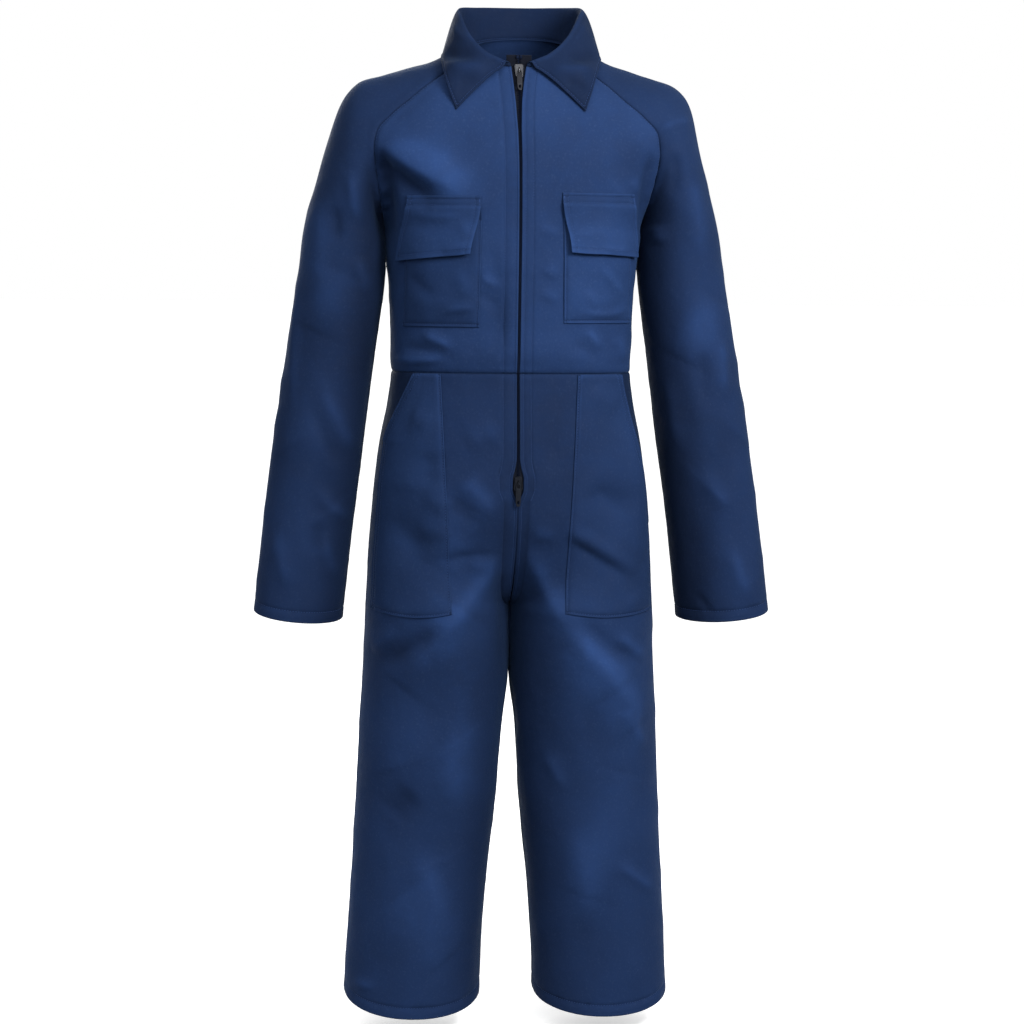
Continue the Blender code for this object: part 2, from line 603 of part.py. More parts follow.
def build_slider(name, metal, pull_metal, z, wide_end):
    """A zip slider with its bail, and the pull tab that hangs on it. wide_end is 1 for up."""
    reach = front_centre(z - SLIDER_REACH["down"]) - front_centre(z + SLIDER_REACH["up"])
    lean = float(np.arctan2(reach, sum(SLIDER_REACH.values())))
    face = front_centre(z) + CLOTH + TAPE_GAP - SLIDER_GAP - SLIDER["depth"]
    body = bmesh.new()
    bmesh.ops.create_cube(body, size=2)
    for vertex in body.verts:
        narrow = SLIDER["taper"] if vertex.co.z * wide_end < 0 else 1
        vertex.co.x *= SLIDER["half_width"] * narrow
        vertex.co.y = (vertex.co.y + 1) * SLIDER["depth"] / 2
        vertex.co.z *= SLIDER["half_height"]
    bmesh.ops.bevel(body, geom=body.edges, offset=SLIDER["bevel"], segments=2, affect="EDGES")
    solid = add_solid(f"zip_slider_{name}", body, metal, (0, face, z), lean)
    wire = bmesh.new()
    ring = bmesh.ops.create_circle(wire, segments=8, radius=BAIL["wire"])["verts"]
    bmesh.ops.translate(wire, verts=ring, vec=Vector((0, BAIL["radius"], 0)))
    edges = list(wire.edges)
    x_axis = Vector((1, 0, 0))
    bmesh.ops.spin(wire, geom=edges, axis=x_axis, angle=2 * np.pi, steps=20, use_merge=True)
    bmesh.ops.recalc_face_normals(wire, faces=wire.faces)
    bail = add_solid(f"bail_{name}", wire, metal, (0, face, z), lean)
    bpy.data.collections["boiler_suit"].objects.unlink(bail)
    bpy.data.collections["cutters"].objects.link(bail)
    bail.hide_render = True
    join = solid.modifiers.new("bail", "BOOLEAN")
    join.operation = "UNION"
    join.solver = "EXACT"
    join.object = bail
    turn = np.linspace(0, 2 * np.pi, RING_POINTS, endpoint=False)
    loops = []
    for shape in (PULL, PULL_EYE):
        middle, half = (shape["top"] + shape["bottom"]) / 2, (shape["top"] - shape["bottom"]) / 2
        cos, sin = np.cos(turn), np.sin(turn)
        x = shape["half_width"] * np.sign(cos) * np.abs(cos) ** PULL_CORNER
        loops.append((x, middle + half * np.sign(sin) * np.abs(sin) ** PULL_CORNER))
    tab = bmesh.new()
    rings = [
        [tab.verts.new((x, y * PULL["thickness"] / 2, height)) for x, height in zip(*loop)]
        for loop, y in ((loops[0], -1), (loops[0], 1), (loops[1], 1), (loops[1], -1))
    ]
    for first, second in zip(rings, rings[1:] + rings[:1]):
        for i in range(len(turn)):
            tab.faces.new((first[i - 1], first[i], second[i], second[i - 1]))
    bmesh.ops.recalc_face_normals(tab, faces=tab.faces)
    out = Matrix.Rotation(lean, 3, "X") @ Vector((0, -BAIL["axis_out"], 0))
    add_solid(f"zip_pull_{name}", tab, pull_metal, Vector((0, face, z)) + out, lean)


def main():
    for old in list(bpy.data.objects):
        bpy.data.objects.remove(old)
    for name in ("boiler_suit", "cutters"):
        group = bpy.data.collections.new(name)
        bpy.context.scene.collection.children.link(group)
    navy = new_material("navy_twill", NAVY, 0.8)
    pocket = new_material("navy_twill_pocket", POCKET_NAVY, 0.8)
    tape = new_material("zip_tape", TAPE_BLACK, 0.75)
    fronts, back = build_bodice(navy)
    sleeves = build_sleeves(navy)
    leg_fronts = build_trousers(navy)
    build_collar(navy, tree_of(*fronts.values(), back, *sleeves))
    build_chest_pockets(pocket, fronts)
    build_hip_pockets(pocket, leg_fronts)
    build_zip_tapes(tape)
    nickel = new_material("zip_slider_metal", NICKEL, 0.35, 1.0)
    dark = new_material("zip_pull_metal", DARK_NICKEL, 0.45, 1.0)
    build_slider("top", nickel, dark, SLIDER_Z["top"], 1)
    build_slider("bottom", nickel, dark, SLIDER_Z["bottom"], -1)


main()
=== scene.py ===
"""A child's zip-front boiler suit, dressed for its picture.

Every piece of cloth is cut again on a fine grid from the named sizes of the part's source, creased,
seamed and stitched, and stands for the plain solid of the same name. Sizes are millimetres unless a
name says otherwise. The front faces -Y, +Z is up and the wearer's left is +X.
"""

import logging
from abc import ABC, abstractmethod
from dataclasses import dataclass, field
from enum import Enum, IntEnum
from typing import Sequence

import bmesh
import bpy
import numpy as np
from mathutils import Matrix, Vector
from mathutils.bvhtree import BVHTree
from mathutils.kdtree import KDTree


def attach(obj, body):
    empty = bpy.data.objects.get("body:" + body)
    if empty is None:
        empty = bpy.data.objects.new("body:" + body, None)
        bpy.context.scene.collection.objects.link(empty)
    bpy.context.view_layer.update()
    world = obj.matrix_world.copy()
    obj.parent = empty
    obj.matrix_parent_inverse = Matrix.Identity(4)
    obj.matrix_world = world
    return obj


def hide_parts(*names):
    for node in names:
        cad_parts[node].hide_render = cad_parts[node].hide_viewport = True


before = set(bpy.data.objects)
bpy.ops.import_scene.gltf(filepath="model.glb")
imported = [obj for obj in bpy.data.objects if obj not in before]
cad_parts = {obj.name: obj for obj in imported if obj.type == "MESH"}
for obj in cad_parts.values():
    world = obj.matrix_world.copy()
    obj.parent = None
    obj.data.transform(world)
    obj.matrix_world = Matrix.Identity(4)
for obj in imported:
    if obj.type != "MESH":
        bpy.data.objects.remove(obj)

log = logging.getLogger("boiler_suit")

MM = 0.001

# Thickness of the cloth, size of the tapes, and heights and turns that several pieces share.
CLOTH = 1.2
COLLAR_CLOTH = 1.7
FLAP_CLOTH = 1.5
TAPE = 0.9
TAPE_WIDTH = 14.0
TAPE_LOW_Z = -492.0
WAIST_Z = -345.0
CROTCH_Z = -606.0
CORNER_POWER = 0.86
NECK_TURN = 0.11
NECK_TURN_LOW_Z = -120.0
NECK_TURN_HIGH_Z = 10.0
NECK_FRONT_Y = -64.0

# Where rays from the front start, and the columns of a place that show in the front view.
IN_FRONT_Y = -500.0
FRONT_VIEW = [0, 2]
WHITE = (1.0, 1.0, 1.0, 1.0)

Table = dict[str, np.ndarray]
Colour = tuple[float, float, float]
Distances = dict[str, np.ndarray]
Shape = bmesh.types.BMesh
Node = bpy.types.Node
Socket = bpy.types.NodeSocket
Material = bpy.types.Material


class Side(IntEnum):
    """A side of the wearer, with its direction along X."""

    RIGHT = -1
    LEFT = 1

    @property
    def word(self) -> str:
        """The side's name in the names of pieces."""
        return self.name.lower()


def table(names: str, *rows: tuple[float, ...]) -> Table:
    """Name the columns of a small table with a row for each section, station, fold or crease."""
    return dict(zip(names.split(), np.array(rows, float).T))


# Sections of the two front panels and the back, from the waist (0) by the underarm (1) to the neck (2).
BODICE = table(
    "step front_z front_y front_sweep back_z back_y back_sweep side_x",
    (0.00, -345, -90, 90, -345, 84, 90, 136.0),
    (0.10, -331, -95, 90, -331, 90, 90, 137.0),
    (0.35, -293, -98, 90, -293, 93, 90, 138.0),
    (0.65, -244, -101, 90, -244, 95, 90, 140.0),
    (0.92, -212, -103, 92, -212, 96, 92, 143.3),
    (1.00, -188, -103, 90, -188, 96, 90, 145.5),
    (1.09, -147, -102, 82, -146, 96, 84, 144.0),
    (1.18, -106, -98, 72, -98, 94, 76, 144.0),
    (1.28, -78, -93, 64, -62, 89, 68, 144.0),
    (1.40, -60, -88, 58, -38, 83, 62, 144.0),
    (1.55, -43, -82, 56, -16, 76, 58, 144.0),
    (1.70, -28, -76, 56, 4, 70, 58, 144.0),
    (1.85, -15, -70, 58, 21, 64, 60, 144.0),
    (2.00, -3, -64, 62, 36, 58, 64, 144.0),
)

# Sections of the raglan sleeve, from the neck (0) by the underarm (1) to the cuff (2).
SLEEVE = table(
    "step front_x front_z back_x back_z crown_x crown_y crown_z front_reach back_reach start drop",
    (0.00, 60, 4, 50, 29, 68, 6, 22, 37, 36, 100, 0),
    (0.15, 80, -9, 70, 17, 97, 5, 6, 50, 48, 108, 0),
    (0.30, 101, -24, 92, 1, 126, 4, -3, 61, 58, 110, 0),
    (0.45, 122, -42, 114, -16, 156, 3, -13, 67, 64, 109, 0),
    (0.60, 143, -60, 136, -38, 184, 2, -24, 69, 67, 105, 0),
    (0.72, 158, -79, 152, -62, 200, 0, -47, 68, 67, 96, 0),
    (0.82, 160, -107, 156, -99, 211, -1, -86, 67, 66, 72, 0),
    (0.91, 153, -147, 151, -144, 223, -2, -133, 63, 63, 40, 0),
    (1.00, 144.7, -188, 144.7, -188, 235, -3, -178, 58, 58, 0, 0),
    (1.15, 146, -246, 146, -246, 243, -5, -234, 54, 54, 0, 0),
    (1.35, 156, -333, 156, -333, 257, -8, -320, 51, 51, 0, 1),
    (1.55, 168, -428, 168, -428, 272, -12, -416, 49, 49, 0, 2),
    (1.75, 180, -522, 180, -522, 284, -16, -511, 47, 47, 0, 4),
    (2.00, 191, -626, 191, -626, 296, -20, -616, 45, 45, 0, 6),
)
HANG = {"front_x": {-1: 0.0, 1: 3.5}, "crown_x": {-1: -3.5, 1: 2.5}}

# Sections of one trouser leg, from the waist through the seat to the hem.
TROUSER = table(
    "step side_z edge_z side_x trunk_front trunk_back split inner_x leg_front leg_back drop",
    (0.00, -345, -345, 136.0, -90, 84, 0.000, 0.5, -90, 84, 0),
    (0.06, -382, -382, 141.0, -95, 92, 0.000, 0.5, -90, 84, 0),
    (0.13, -425, -425, 149.5, -99, 102, 0.000, 0.5, -90, 84, 0),
    (0.20, -468, -474, 155.0, -101, 109, 0.010, 0.5, -92, 88, 0),
    (0.26, -500, -522, 158.0, -101, 112, 0.076, 0.6, -94, 92, 0),
    (0.31, -530, -566, 160.5, -99, 112, 0.293, 0.8, -96, 96, 0),
    (0.36, -560, -594, 162.5, -97, 110, 0.546, 0.9, -97, 97, 0),
    (0.41, -588, -607, 163.5, -96, 108, 0.767, 0.6, -97, 96, 0),
    (0.46, -618, -613, 165.0, -95, 106, 1.000, 0.2, -96, 94, 0),
    (0.52, -652, -646, 166.0, -94, 104, 1.000, -0.6, -93, 91, 0),
    (0.58, -692, -690, 168.0, -94, 104, 1.000, 0.6, -89, 87, 0),
    (0.66, -748, -748, 171.0, -94, 104, 1.000, 7.0, -84, 83, 0),
    (0.76, -842, -842, 175.5, -94, 104, 1.000, 15.0, -79, 80, 1),
    (0.86, -930, -930, 180.0, -94, 104, 1.000, 23.5, -75, 78, 4),
    (0.94, -1002, -1002, 184.5, -94, 104, 1.000, 28.5, -73, 77, 11),
    (1.00, -1060, -1060, 187.5, -94, 104, 1.000, 30.5, -72, 77, 20),
)

# Half the width of the slit that the zip shows in, up the front.
ZIP_EDGE = table(
    "z half_gap",
    (-490, 0.0),
    (-482, 3.2),
    (-476, 5.9),
    (-459, 5.9),
    (-452, 3.6),
    (-440, 1.6),
    (-345, 1.4),
    (-120, 1.5),
    (-75, 1.8),
    (-45, 3.3),
    (-24, 5.4),
    (-3, 8.5),
    (20, 10.0),
)

# Stations of the collar, from its front end (0) past the middle of the back (1).
COLLAR = table(
    "step roll_x roll_y roll_z edge_x edge_y edge_z",
    (0.00, 13, -70, 2, 72, -86, -54),
    (0.18, 36, -63, 13, 82, -76, -26),
    (0.36, 54, -43, 32, 88, -50, -5),
    (0.54, 66, -10, 58, 91, -10, 9),
    (0.70, 68, 22, 69, 85, 34, 15),
    (0.85, 47, 50, 72, 56, 70, 18),
    (1.00, 0, 61, 72, 0, 83, 20),
    (1.15, -47, 50, 72, -56, 70, 18),
)

# The large soft folds of the source, ends in the front view, half width and height.
FRONT_FOLDS = table(
    "x1 z1 x2 z2 width height",
    (-150, -92, -58, -142, 24, 3.6),
    (-146, -128, -92, -160, 22, -3.0),
    (148, -100, 112, -140, 24, -3.0),
    (-92, -560, -58, -494, 26, 3.0),
    (-62, -610, -126, -700, 30, 4.5),
    (62, -505, 142, -560, 26, 3.0),
    (40, -590, 116, -700, 30, 3.8),
    (64, -650, 138, -745, 28, 3.0),
    (-150, -640, -66, -760, 32, -3.5),
    (-132, -790, -92, -900, 34, -3.0),
    (128, -800, 84, -940, 34, 3.5),
    (-130, -940, -70, -1010, 34, 3.0),
    (-226, -300, -196, -236, 26, 3.5),
    (-254, -430, -206, -500, 28, -3.5),
    (228, -262, 192, -330, 26, 3.5),
    (264, -420, 220, -470, 28, -3.5),
)
BACK_FOLDS = table(
    "x1 z1 x2 z2 width height",
    (-136, -124, -70, -190, 28, 3.5),
    (138, -128, 78, -186, 28, 3.5),
    (-54, -585, -120, -540, 28, 3.5),
    (52, -590, 126, -548, 28, 3.5),
    (-60, -630, -130, -740, 30, 4.0),
    (56, -640, 118, -760, 30, 4.0),
    (-126, -820, -80, -930, 34, -3.5),
    (130, -850, 78, -950, 34, -3.5),
    (-238, -330, -204, -262, 28, 3.5),
    (240, -350, 198, -280, 28, 3.5),
    (-262, -470, -212, -530, 28, -3.5),
    (266, -480, 222, -540, 28, -3.5),
)

# Creases placed in the front view: three points along each, its half width on the upper and
# on the lower side, and its height, which is below zero for a trough.
FRONT_CREASES = table(
    "x1 z1 x2 z2 x3 z3 above below height",
    (-166, -84, -116, -119, -60, -147, 22, 8, 2.4),
    (-160, -104, -128, -133, -92, -156, 9, 12, -3.6),
    (-157, -96, -149, -142, -140, -214, 9, 10, -4.6),
    (-43, -237, -34, -243, -22, -252, 6, 5, 1.6),
    (-52, -256, -36, -262, -20, -272, 6, 8, -0.9),
    (-108, -303, -90, -309, -72, -318, 6, 5, 1.9),
    (-136, -328, -114, -332, -74, -325, 7, 5, 2.0),
    (-128, -316, -104, -320, -66, -331, 5, 5, -1.1),
    (20, -181, 32, -187, 46, -192, 6, 6, 1.1),
    (24, -229, 34, -232, 46, -236, 6, 6, 1.0),
    (22, -254, 34, -259, 46, -266, 6, 6, 1.0),
    (74, -297, 84, -305, 96, -320, 5, 5, 1.5),
    (60, -312, 76, -318, 92, -334, 6, 6, -0.9),
    (112, -300, 120, -316, 122, -334, 6, 6, 1.3),
    (128, -128, 132, -136, 136, -146, 5, 5, 1.0),
    (152, -92, 146, -136, 138, -190, 7, 8, -2.8),
    (-14, -470, -10, -570, -4, -690, 15, 15, -3.0),
    (-30, -186, -25, -262, -21, -330, 13, 11, -1.8),
    (158, -76, 160, -88, 160, -104, 5, 5, -1.4),
    (-218, -140, -221, -200, -223, -262, 14, 14, 2.4),
    (-204, -158, -203, -182, -201, -204, 7, 7, -1.7),
    (-179, -214, -173, -238, -165, -260, 7, 7, 1.7),
    (-186, -120, -184, -150, -176, -186, 9, 7, 2.0),
    (-243, -246, -249, -320, -251, -396, 5, 5, 1.5),
    (-222, -350, -198, -406, -180, -438, 10, 8, 1.9),
    (-232, -372, -214, -420, -196, -452, 8, 8, -1.3),
    (-224, -474, -206, -498, -182, -513, 8, 8, 2.0),
    (-222, -510, -222, -532, -221, -552, 8, 8, -1.6),
    (-217, -524, -209, -556, -200, -586, 7, 7, 1.6),
    (-268, -520, -262, -560, -250, -592, 9, 9, 1.5),
    (154, -78, 176, -64, 202, -60, 7, 7, 1.8),
    (178, -94, 178, -120, 176, -150, 8, 8, -1.8),
    (160, -176, 162, -188, 164, -202, 9, 9, 2.0),
    (198, -120, 204, -170, 214, -236, 12, 12, 1.8),
    (175, -344, 182, -390, 190, -438, 8, 8, 1.7),
    (212, -316, 215, -352, 218, -390, 8, 8, -1.4),
    (234, -298, 237, -340, 240, -382, 8, 8, 1.7),
    (214, -446, 230, -478, 250, -500, 9, 9, 1.7),
    (249, -540, 258, -572, 269, -602, 8, 8, 1.6),
    (212, -596, 220, -608, 231, -621, 4, 4, -1.0),
    (-118, -393, -106, -398, -92, -405, 13, 11, 1.4),
    (-99, -430, -98, -452, -99, -476, 15, 14, -1.8),
    (-104, -478, -88, -488, -72, -500, 13, 12, 1.6),
    (-112, -514, -92, -520, -70, -524, 13, 11, 1.4),
    (-140, -500, -120, -530, -94, -548, 16, 15, -2.0),
    (-60, -424, -40, -413, -20, -402, 15, 14, 1.7),
    (-62, -458, -46, -481, -19, -505, 13, 15, 2.6),
    (-82, -486, -60, -500, -36, -514, 8, 8, -0.9),
    (-104, -560, -56, -549, -10, -552, 6, 7, -1.3),
    (-56, -562, -36, -559, -16, -560, 13, 12, 1.6),
    (-14, -552, -52, -598, -100, -660, 11, 13, 3.4),
    (-76, -625, -120, -655, -158, -680, 10, 10, -2.8),
    (-162, -660, -148, -648, -130, -630, 9, 9, 1.8),
    (-63, -695, -68, -775, -69, -858, 20, 24, 2.2),
    (-142, -850, -128, -834, -112, -816, 18, 18, -1.8),
    (-180, -1042, -168, -1045, -152, -1045, 6, 6, 1.3),
    (-112, -890, -92, -930, -84, -990, 14, 14, 1.6),
    (6, -530, 36, -588, 60, -636, 12, 10, 2.6),
    (52, -624, 104, -684, 154, -752, 14, 12, 2.0),
    (70, -614, 103, -650, 140, -672, 11, 11, -2.6),
    (112, -638, 132, -654, 152, -672, 8, 7, 1.8),
    (14, -522, 30, -524, 50, -528, 11, 10, 1.3),
    (55, -517, 90, -540, 144, -576, 9, 7, 3.2),
    (56, -530, 92, -550, 138, -584, 7, 7, -1.5),
    (82, -468, 106, -486, 130, -508, 14, 13, -2.6),
    (126, -400, 136, -480, 142, -560, 12, 12, 2.6),
    (82, -364, 98, -374, 116, -384, 13, 13, 1.6),
    (36, -775, 48, -797, 58, -820, 8, 8, 1.4),
    (118, -900, 144, -922, 170, -942, 7, 7, 1.6),
    (122, -722, 136, -746, 152, -775, 8, 8, 1.6),
    (150, -590, 136, -600, 118, -604, 7, 7, 1.2),
    (70, -858, 82, -920, 84, -990, 18, 20, 2.0),
)
BACK_CREASES = table(
    "x1 z1 x2 z2 x3 z3 above below height",
    (-150, -104, -108, -136, -62, -150, 18, 8, 3.0),
    (-148, -136, -120, -158, -84, -176, 9, 10, -2.4),
    (152, -96, 116, -130, 74, -152, 16, 8, 3.2),
    (148, -132, 124, -156, 92, -170, 9, 10, -2.4),
    (-40, -60, 2, -70, 52, -62, 12, 9, 1.4),
    (-70, -92, -30, -104, 6, -104, 10, 8, 1.0),
    (-120, -262, -84, -272, -52, -290, 8, 7, 1.8),
    (34, -248, 70, -262, 112, -262, 8, 7, 1.7),
    (-64, -312, -20, -320, 22, -314, 7, 6, 2.0),
    (48, -326, 84, -320, 118, -328, 7, 6, 1.9),
    (-130, -318, -104, -326, -80, -324, 7, 6, -1.4),
    (-18, -196, -8, -230, 4, -262, 14, 14, 1.6),
    (-216, -150, -224, -206, -226, -262, 13, 13, 2.2),
    (-176, -250, -196, -288, -226, -312, 9, 8, 2.2),
    (-180, -330, -204, -352, -236, -362, 9, 8, 2.0),
    (-190, -362, -206, -380, -228, -392, 8, 8, -1.6),
    (-196, -452, -214, -496, -220, -546, 9, 9, 1.8),
    (-262, -480, -256, -530, -248, -586, 9, 9, 1.5),
    (206, -140, 216, -196, 222, -252, 13, 13, 2.0),
    (172, -262, 196, -302, 232, -318, 9, 8, 2.2),
    (178, -344, 206, -366, 244, -370, 9, 8, 2.1),
    (190, -378, 212, -392, 238, -400, 8, 8, -1.6),
    (196, -440, 206, -486, 210, -540, 9, 9, 1.8),
    (262, -500, 266, -548, 272, -596, 9, 9, 1.4),
    (-16, -392, -46, -420, -92, -428, 9, 8, 1.4),
    (14, -400, 52, -424, 96, -424, 9, 8, 1.3),
    (-10, -588, -54, -600, -112, -588, 9, 9, 3.2),
    (-16, -612, -60, -626, -118, -618, 9, 9, -2.6),
    (12, -590, 58, -604, 120, -596, 9, 9, 3.2),
    (16, -616, 62, -628, 116, -626, 9, 9, -2.4),
    (-16, -640, -60, -700, -126, -748, 12, 11, 2.8),
    (-140, -700, -112, -724, -72, -742, 10, 10, -2.0),
    (18, -650, 66, -700, 132, -736, 12, 11, 2.8),
    (142, -668, 112, -712, 74, -760, 10, 10, -2.0),
    (-58, -800, -72, -870, -70, -950, 18, 20, 2.2),
    (-150, -820, -112, -836, -66, -830, 9, 9, 1.8),
    (52, -812, 96, -830, 152, -822, 9, 9, 1.8),
    (66, -860, 74, -930, 82, -1000, 18, 18, 2.0),
    (-120, -950, -132, -990, -134, -1040, 12, 12, 1.4),
)

# Creases seen from the side: depth and height of three points, and which side of the suit.
SLEEVE_SIDE_CREASES = table(
    "x1 z1 x2 z2 x3 z3 above below height",
    (-50, -110, -8, -150, 30, -164, 14, 9, 2.4),
    (40, -210, 4, -236, -40, -250, 10, 9, 2.2),
    (-46, -330, 0, -352, 40, -356, 9, 8, 2.6),
    (-48, -352, -4, -378, 36, -382, 8, 8, -2.0),
    (-44, -384, 0, -404, 30, -412, 9, 8, 2.0),
    (30, -460, -10, -492, -50, -502, 10, 9, 1.8),
    (-52, -556, -20, -572, 16, -592, 9, 9, 1.4),
)
TRUNK_SIDE_CREASES = table(
    "x1 z1 x2 z2 x3 z3 above below height",
    (-70, -236, -20, -252, 40, -246, 9, 8, 2.0),
    (-60, -302, 0, -318, 66, -306, 8, 7, 2.2),
    (70, -334, 10, -326, -50, -332, 7, 6, 1.8),
    (-70, -620, -10, -650, 60, -640, 12, 10, 2.2),
    (66, -700, 0, -740, -60, -752, 12, 11, 2.2),
    (-60, -840, 0, -866, 56, -858, 11, 10, 2.0),
    (50, -900, 0, -930, -50, -962, 12, 12, 1.8),
    (-40, -990, 0, -1010, 30, -1040, 12, 12, 1.4),
    (-34, -200, 0, -208, 34, -204, 12, 14, 4.0),
)

# How far the side creases are shifted on each side, and how strong creases and unevenness are.
FLANK = {-1: 9.0, 1: -13.0}
FLANK_GAIN = 0.18
FLANK_CALM = 0.75
CREASE_GAIN = 1.9
CREASE_RUNS = 8

# Unevenness of the cloth: the height of its lumps, their size in X, Y and Z, and which pattern.
CLOTH_LUMPS = ((1.7, (58, 58, 90), 3), (0.95, (25, 25, 40), 5), (0.2, (11, 11, 15), 8))
COLLAR_LUMPS = ((0.3, (34, 34, 34), 51), (0.12, (12, 12, 12), 52))

COLLAR_CREASES = table(
    "x1 z1 x2 z2 x3 z3 above below height",
    (-92, 14, -70, 9, -42, 11, 8, 7, -2.2),
    (-84, -3, -58, -6, -28, -7, 7, 9, 1.9),
    (-70, -24, -58, -22, -44, -20, 5, 6, -1.0),
    (-74, 52, -66, 36, -52, 22, 5, 6, 1.2),
    (50, 10, 76, 8, 98, 15, 8, 7, -2.2),
    (32, -6, 58, -7, 88, -5, 7, 9, 1.9),
    (50, -20, 62, -23, 76, -28, 5, 6, -1.0),
    (58, 22, 72, 36, 80, 52, 5, 6, 1.2),
)
POCKET_CREASES = table(
    "x1 z1 x2 z2 x3 z3 above below height",
    (88, -224, 104, -242, 118, -261, 6, 6, 1.4),
    (64, -273, 98, -281, 124, -268, 5, 5, 1.5),
    (70, -252, 80, -262, 84, -276, 6, 6, 0.9),
    (-84, -278, -64, -273, -44, -272, 4, 5, 1.2),
    (-118, -232, -106, -250, -86, -262, 8, 8, -1.0),
    (-70, -228, -62, -246, -60, -262, 8, 8, 0.9),
)
FLAP_CREASES = table(
    "x1 z1 x2 z2 x3 z3 above below height",
    (-124, -166, -92, -171, -58, -170, 5, 6, 0.9),
    (-84, -212, -68, -206, -52, -203, 5, 5, 1.1),
    (-66, -176, -60, -186, -56, -198, 6, 6, 0.8),
    (58, -186, 74, -190, 96, -182, 6, 6, 0.8),
    (84, -204, 104, -207, 122, -206, 4, 4, 0.9),
)

# Each pocket's and flap's shade, by side, is painted light and shade: its colour is made lighter or darker as
# light falls on that side of the chest and hips.
CHEST_POCKET = {
    "inner": {-1: 42.0, 1: 47.5},
    "outer": {-1: 124.0, 1: 128.0},
    "top": {-1: -161.0, 1: -157.0},
    "bottom": {-1: -294.0, 1: -289.0},
    "splay": {-1: 2.0, 1: 2.0},
    "shade": {-1: 0.84, 1: 1.1},
}
CHEST_FLAP = {
    "inner": {-1: 43.5, 1: 46.0},
    "outer": {-1: 124.0, 1: 130.0},
    "top": {-1: -148.5, 1: -144.0},
    "bottom": {-1: -213.0, 1: -210.5},
    "slope": {-1: 8.0, 1: 4.0},
    "splay_inner": {-1: 9.0, 1: 8.0},
    "splay_outer": {-1: 6.5, 1: 4.0},
    "shade": {-1: 0.86, 1: 0.98},
}
HIP_POCKET = {
    "top_inner": {-1: 85.0, 1: 67.0},
    "low_inner": {-1: 72.5, 1: 54.5},
    "top_outer": {-1: 113.0, 1: 120.0},
    "opening_low": {-1: -430.0, 1: -524.0},
    "bottom": -613.0,
    "sag": 5.0,
    "from_side": 5.0,
    "gape": 2.5,
    "shade": {-1: 0.83, 1: 0.79},
}


def along(rows: Table, column: str, at: np.ndarray, key: str = "step") -> np.ndarray:
    """Read a smooth curve through one column of a table.

    Args:
        rows: The table.
        column: Name of the column that is read.
        at: Places on the key column.
        key: Name of the column that the places are on.

    Returns:
        The curve's values at those places.
    """
    x, y = rows[key], rows[column]
    gaps, slopes = np.diff(x), np.diff(y) / np.diff(x)
    inner = (slopes[1:] * gaps[:-1] + slopes[:-1] * gaps[1:]) / (gaps[1:] + gaps[:-1])
    tangent = np.concatenate([slopes[:1], inner, slopes[-1:]])
    at = np.clip(at, x[0], x[-1])
    i = np.clip(np.searchsorted(x, at, side="right") - 1, 0, len(gaps) - 1)
    t = (at - x[i]) / gaps[i]
    return (
        y[i] * (1 + 2 * t) * (1 - t) ** 2
        + y[i + 1] * t * t * (3 - 2 * t)
        + gaps[i] * (tangent[i] * t * (1 - t) ** 2 - tangent[i + 1] * t * t * (1 - t))
    )


def ease(value: np.ndarray, low: float, high: float) -> np.ndarray:
    """Rise from 0 at low to 1 at high with soft ends."""
    t = np.clip((value - low) / (high - low), 0, 1)
    return t * t * (3 - 2 * t)


def sleeve_surface(turn: np.ndarray, step: np.ndarray, side: int = 1) -> np.ndarray:
    """Find points of a sleeve.

    Args:
        turn: 0 to 1 from the front seam over the crown to the back seam.
        step: 0 to 2 from the neck by the underarm to the cuff.
        side: 1 for the wearer's left, -1 for the right.

    Returns:
        A place for each pair.
    """
    row = {name: along(SLEEVE, name, step) for name in SLEEVE}
    hang = np.maximum(step - 1, 0)
    for name in ("front_x", "crown_x"):
        row[name] = row[name] + HANG[name][side] * hang
    behind = turn > 0.5
    start = np.radians(np.where(step < 1, row["start"], 0))
    back_seam = behind & (step < 1)
    low_x = np.where(back_seam, row["back_x"], row["front_x"])
    low_z = np.where(back_seam, row["back_z"], row["front_z"])
    reach = np.where(behind, row["back_reach"], -row["front_reach"])
    angle = start + (np.pi - start) * (1 - np.abs(2 * turn - 1))
    middle_x = (low_x + row["crown_x"] * np.cos(start)) / (1 + np.cos(start))
    middle_z = (low_z + row["crown_z"] * np.cos(start)) / (1 + np.cos(start))
    x = middle_x - (row["crown_x"] - middle_x) * np.cos(angle)
    y = row["crown_y"] * (1 - np.cos(angle)) / 2 + reach * np.sin(angle)
    z = middle_z - (row["crown_z"] - middle_z) * np.cos(angle)
    z = z + row["drop"] * np.sin(angle) * np.where(behind, 1, -1)
    return np.stack([side * x, y, z], -1)


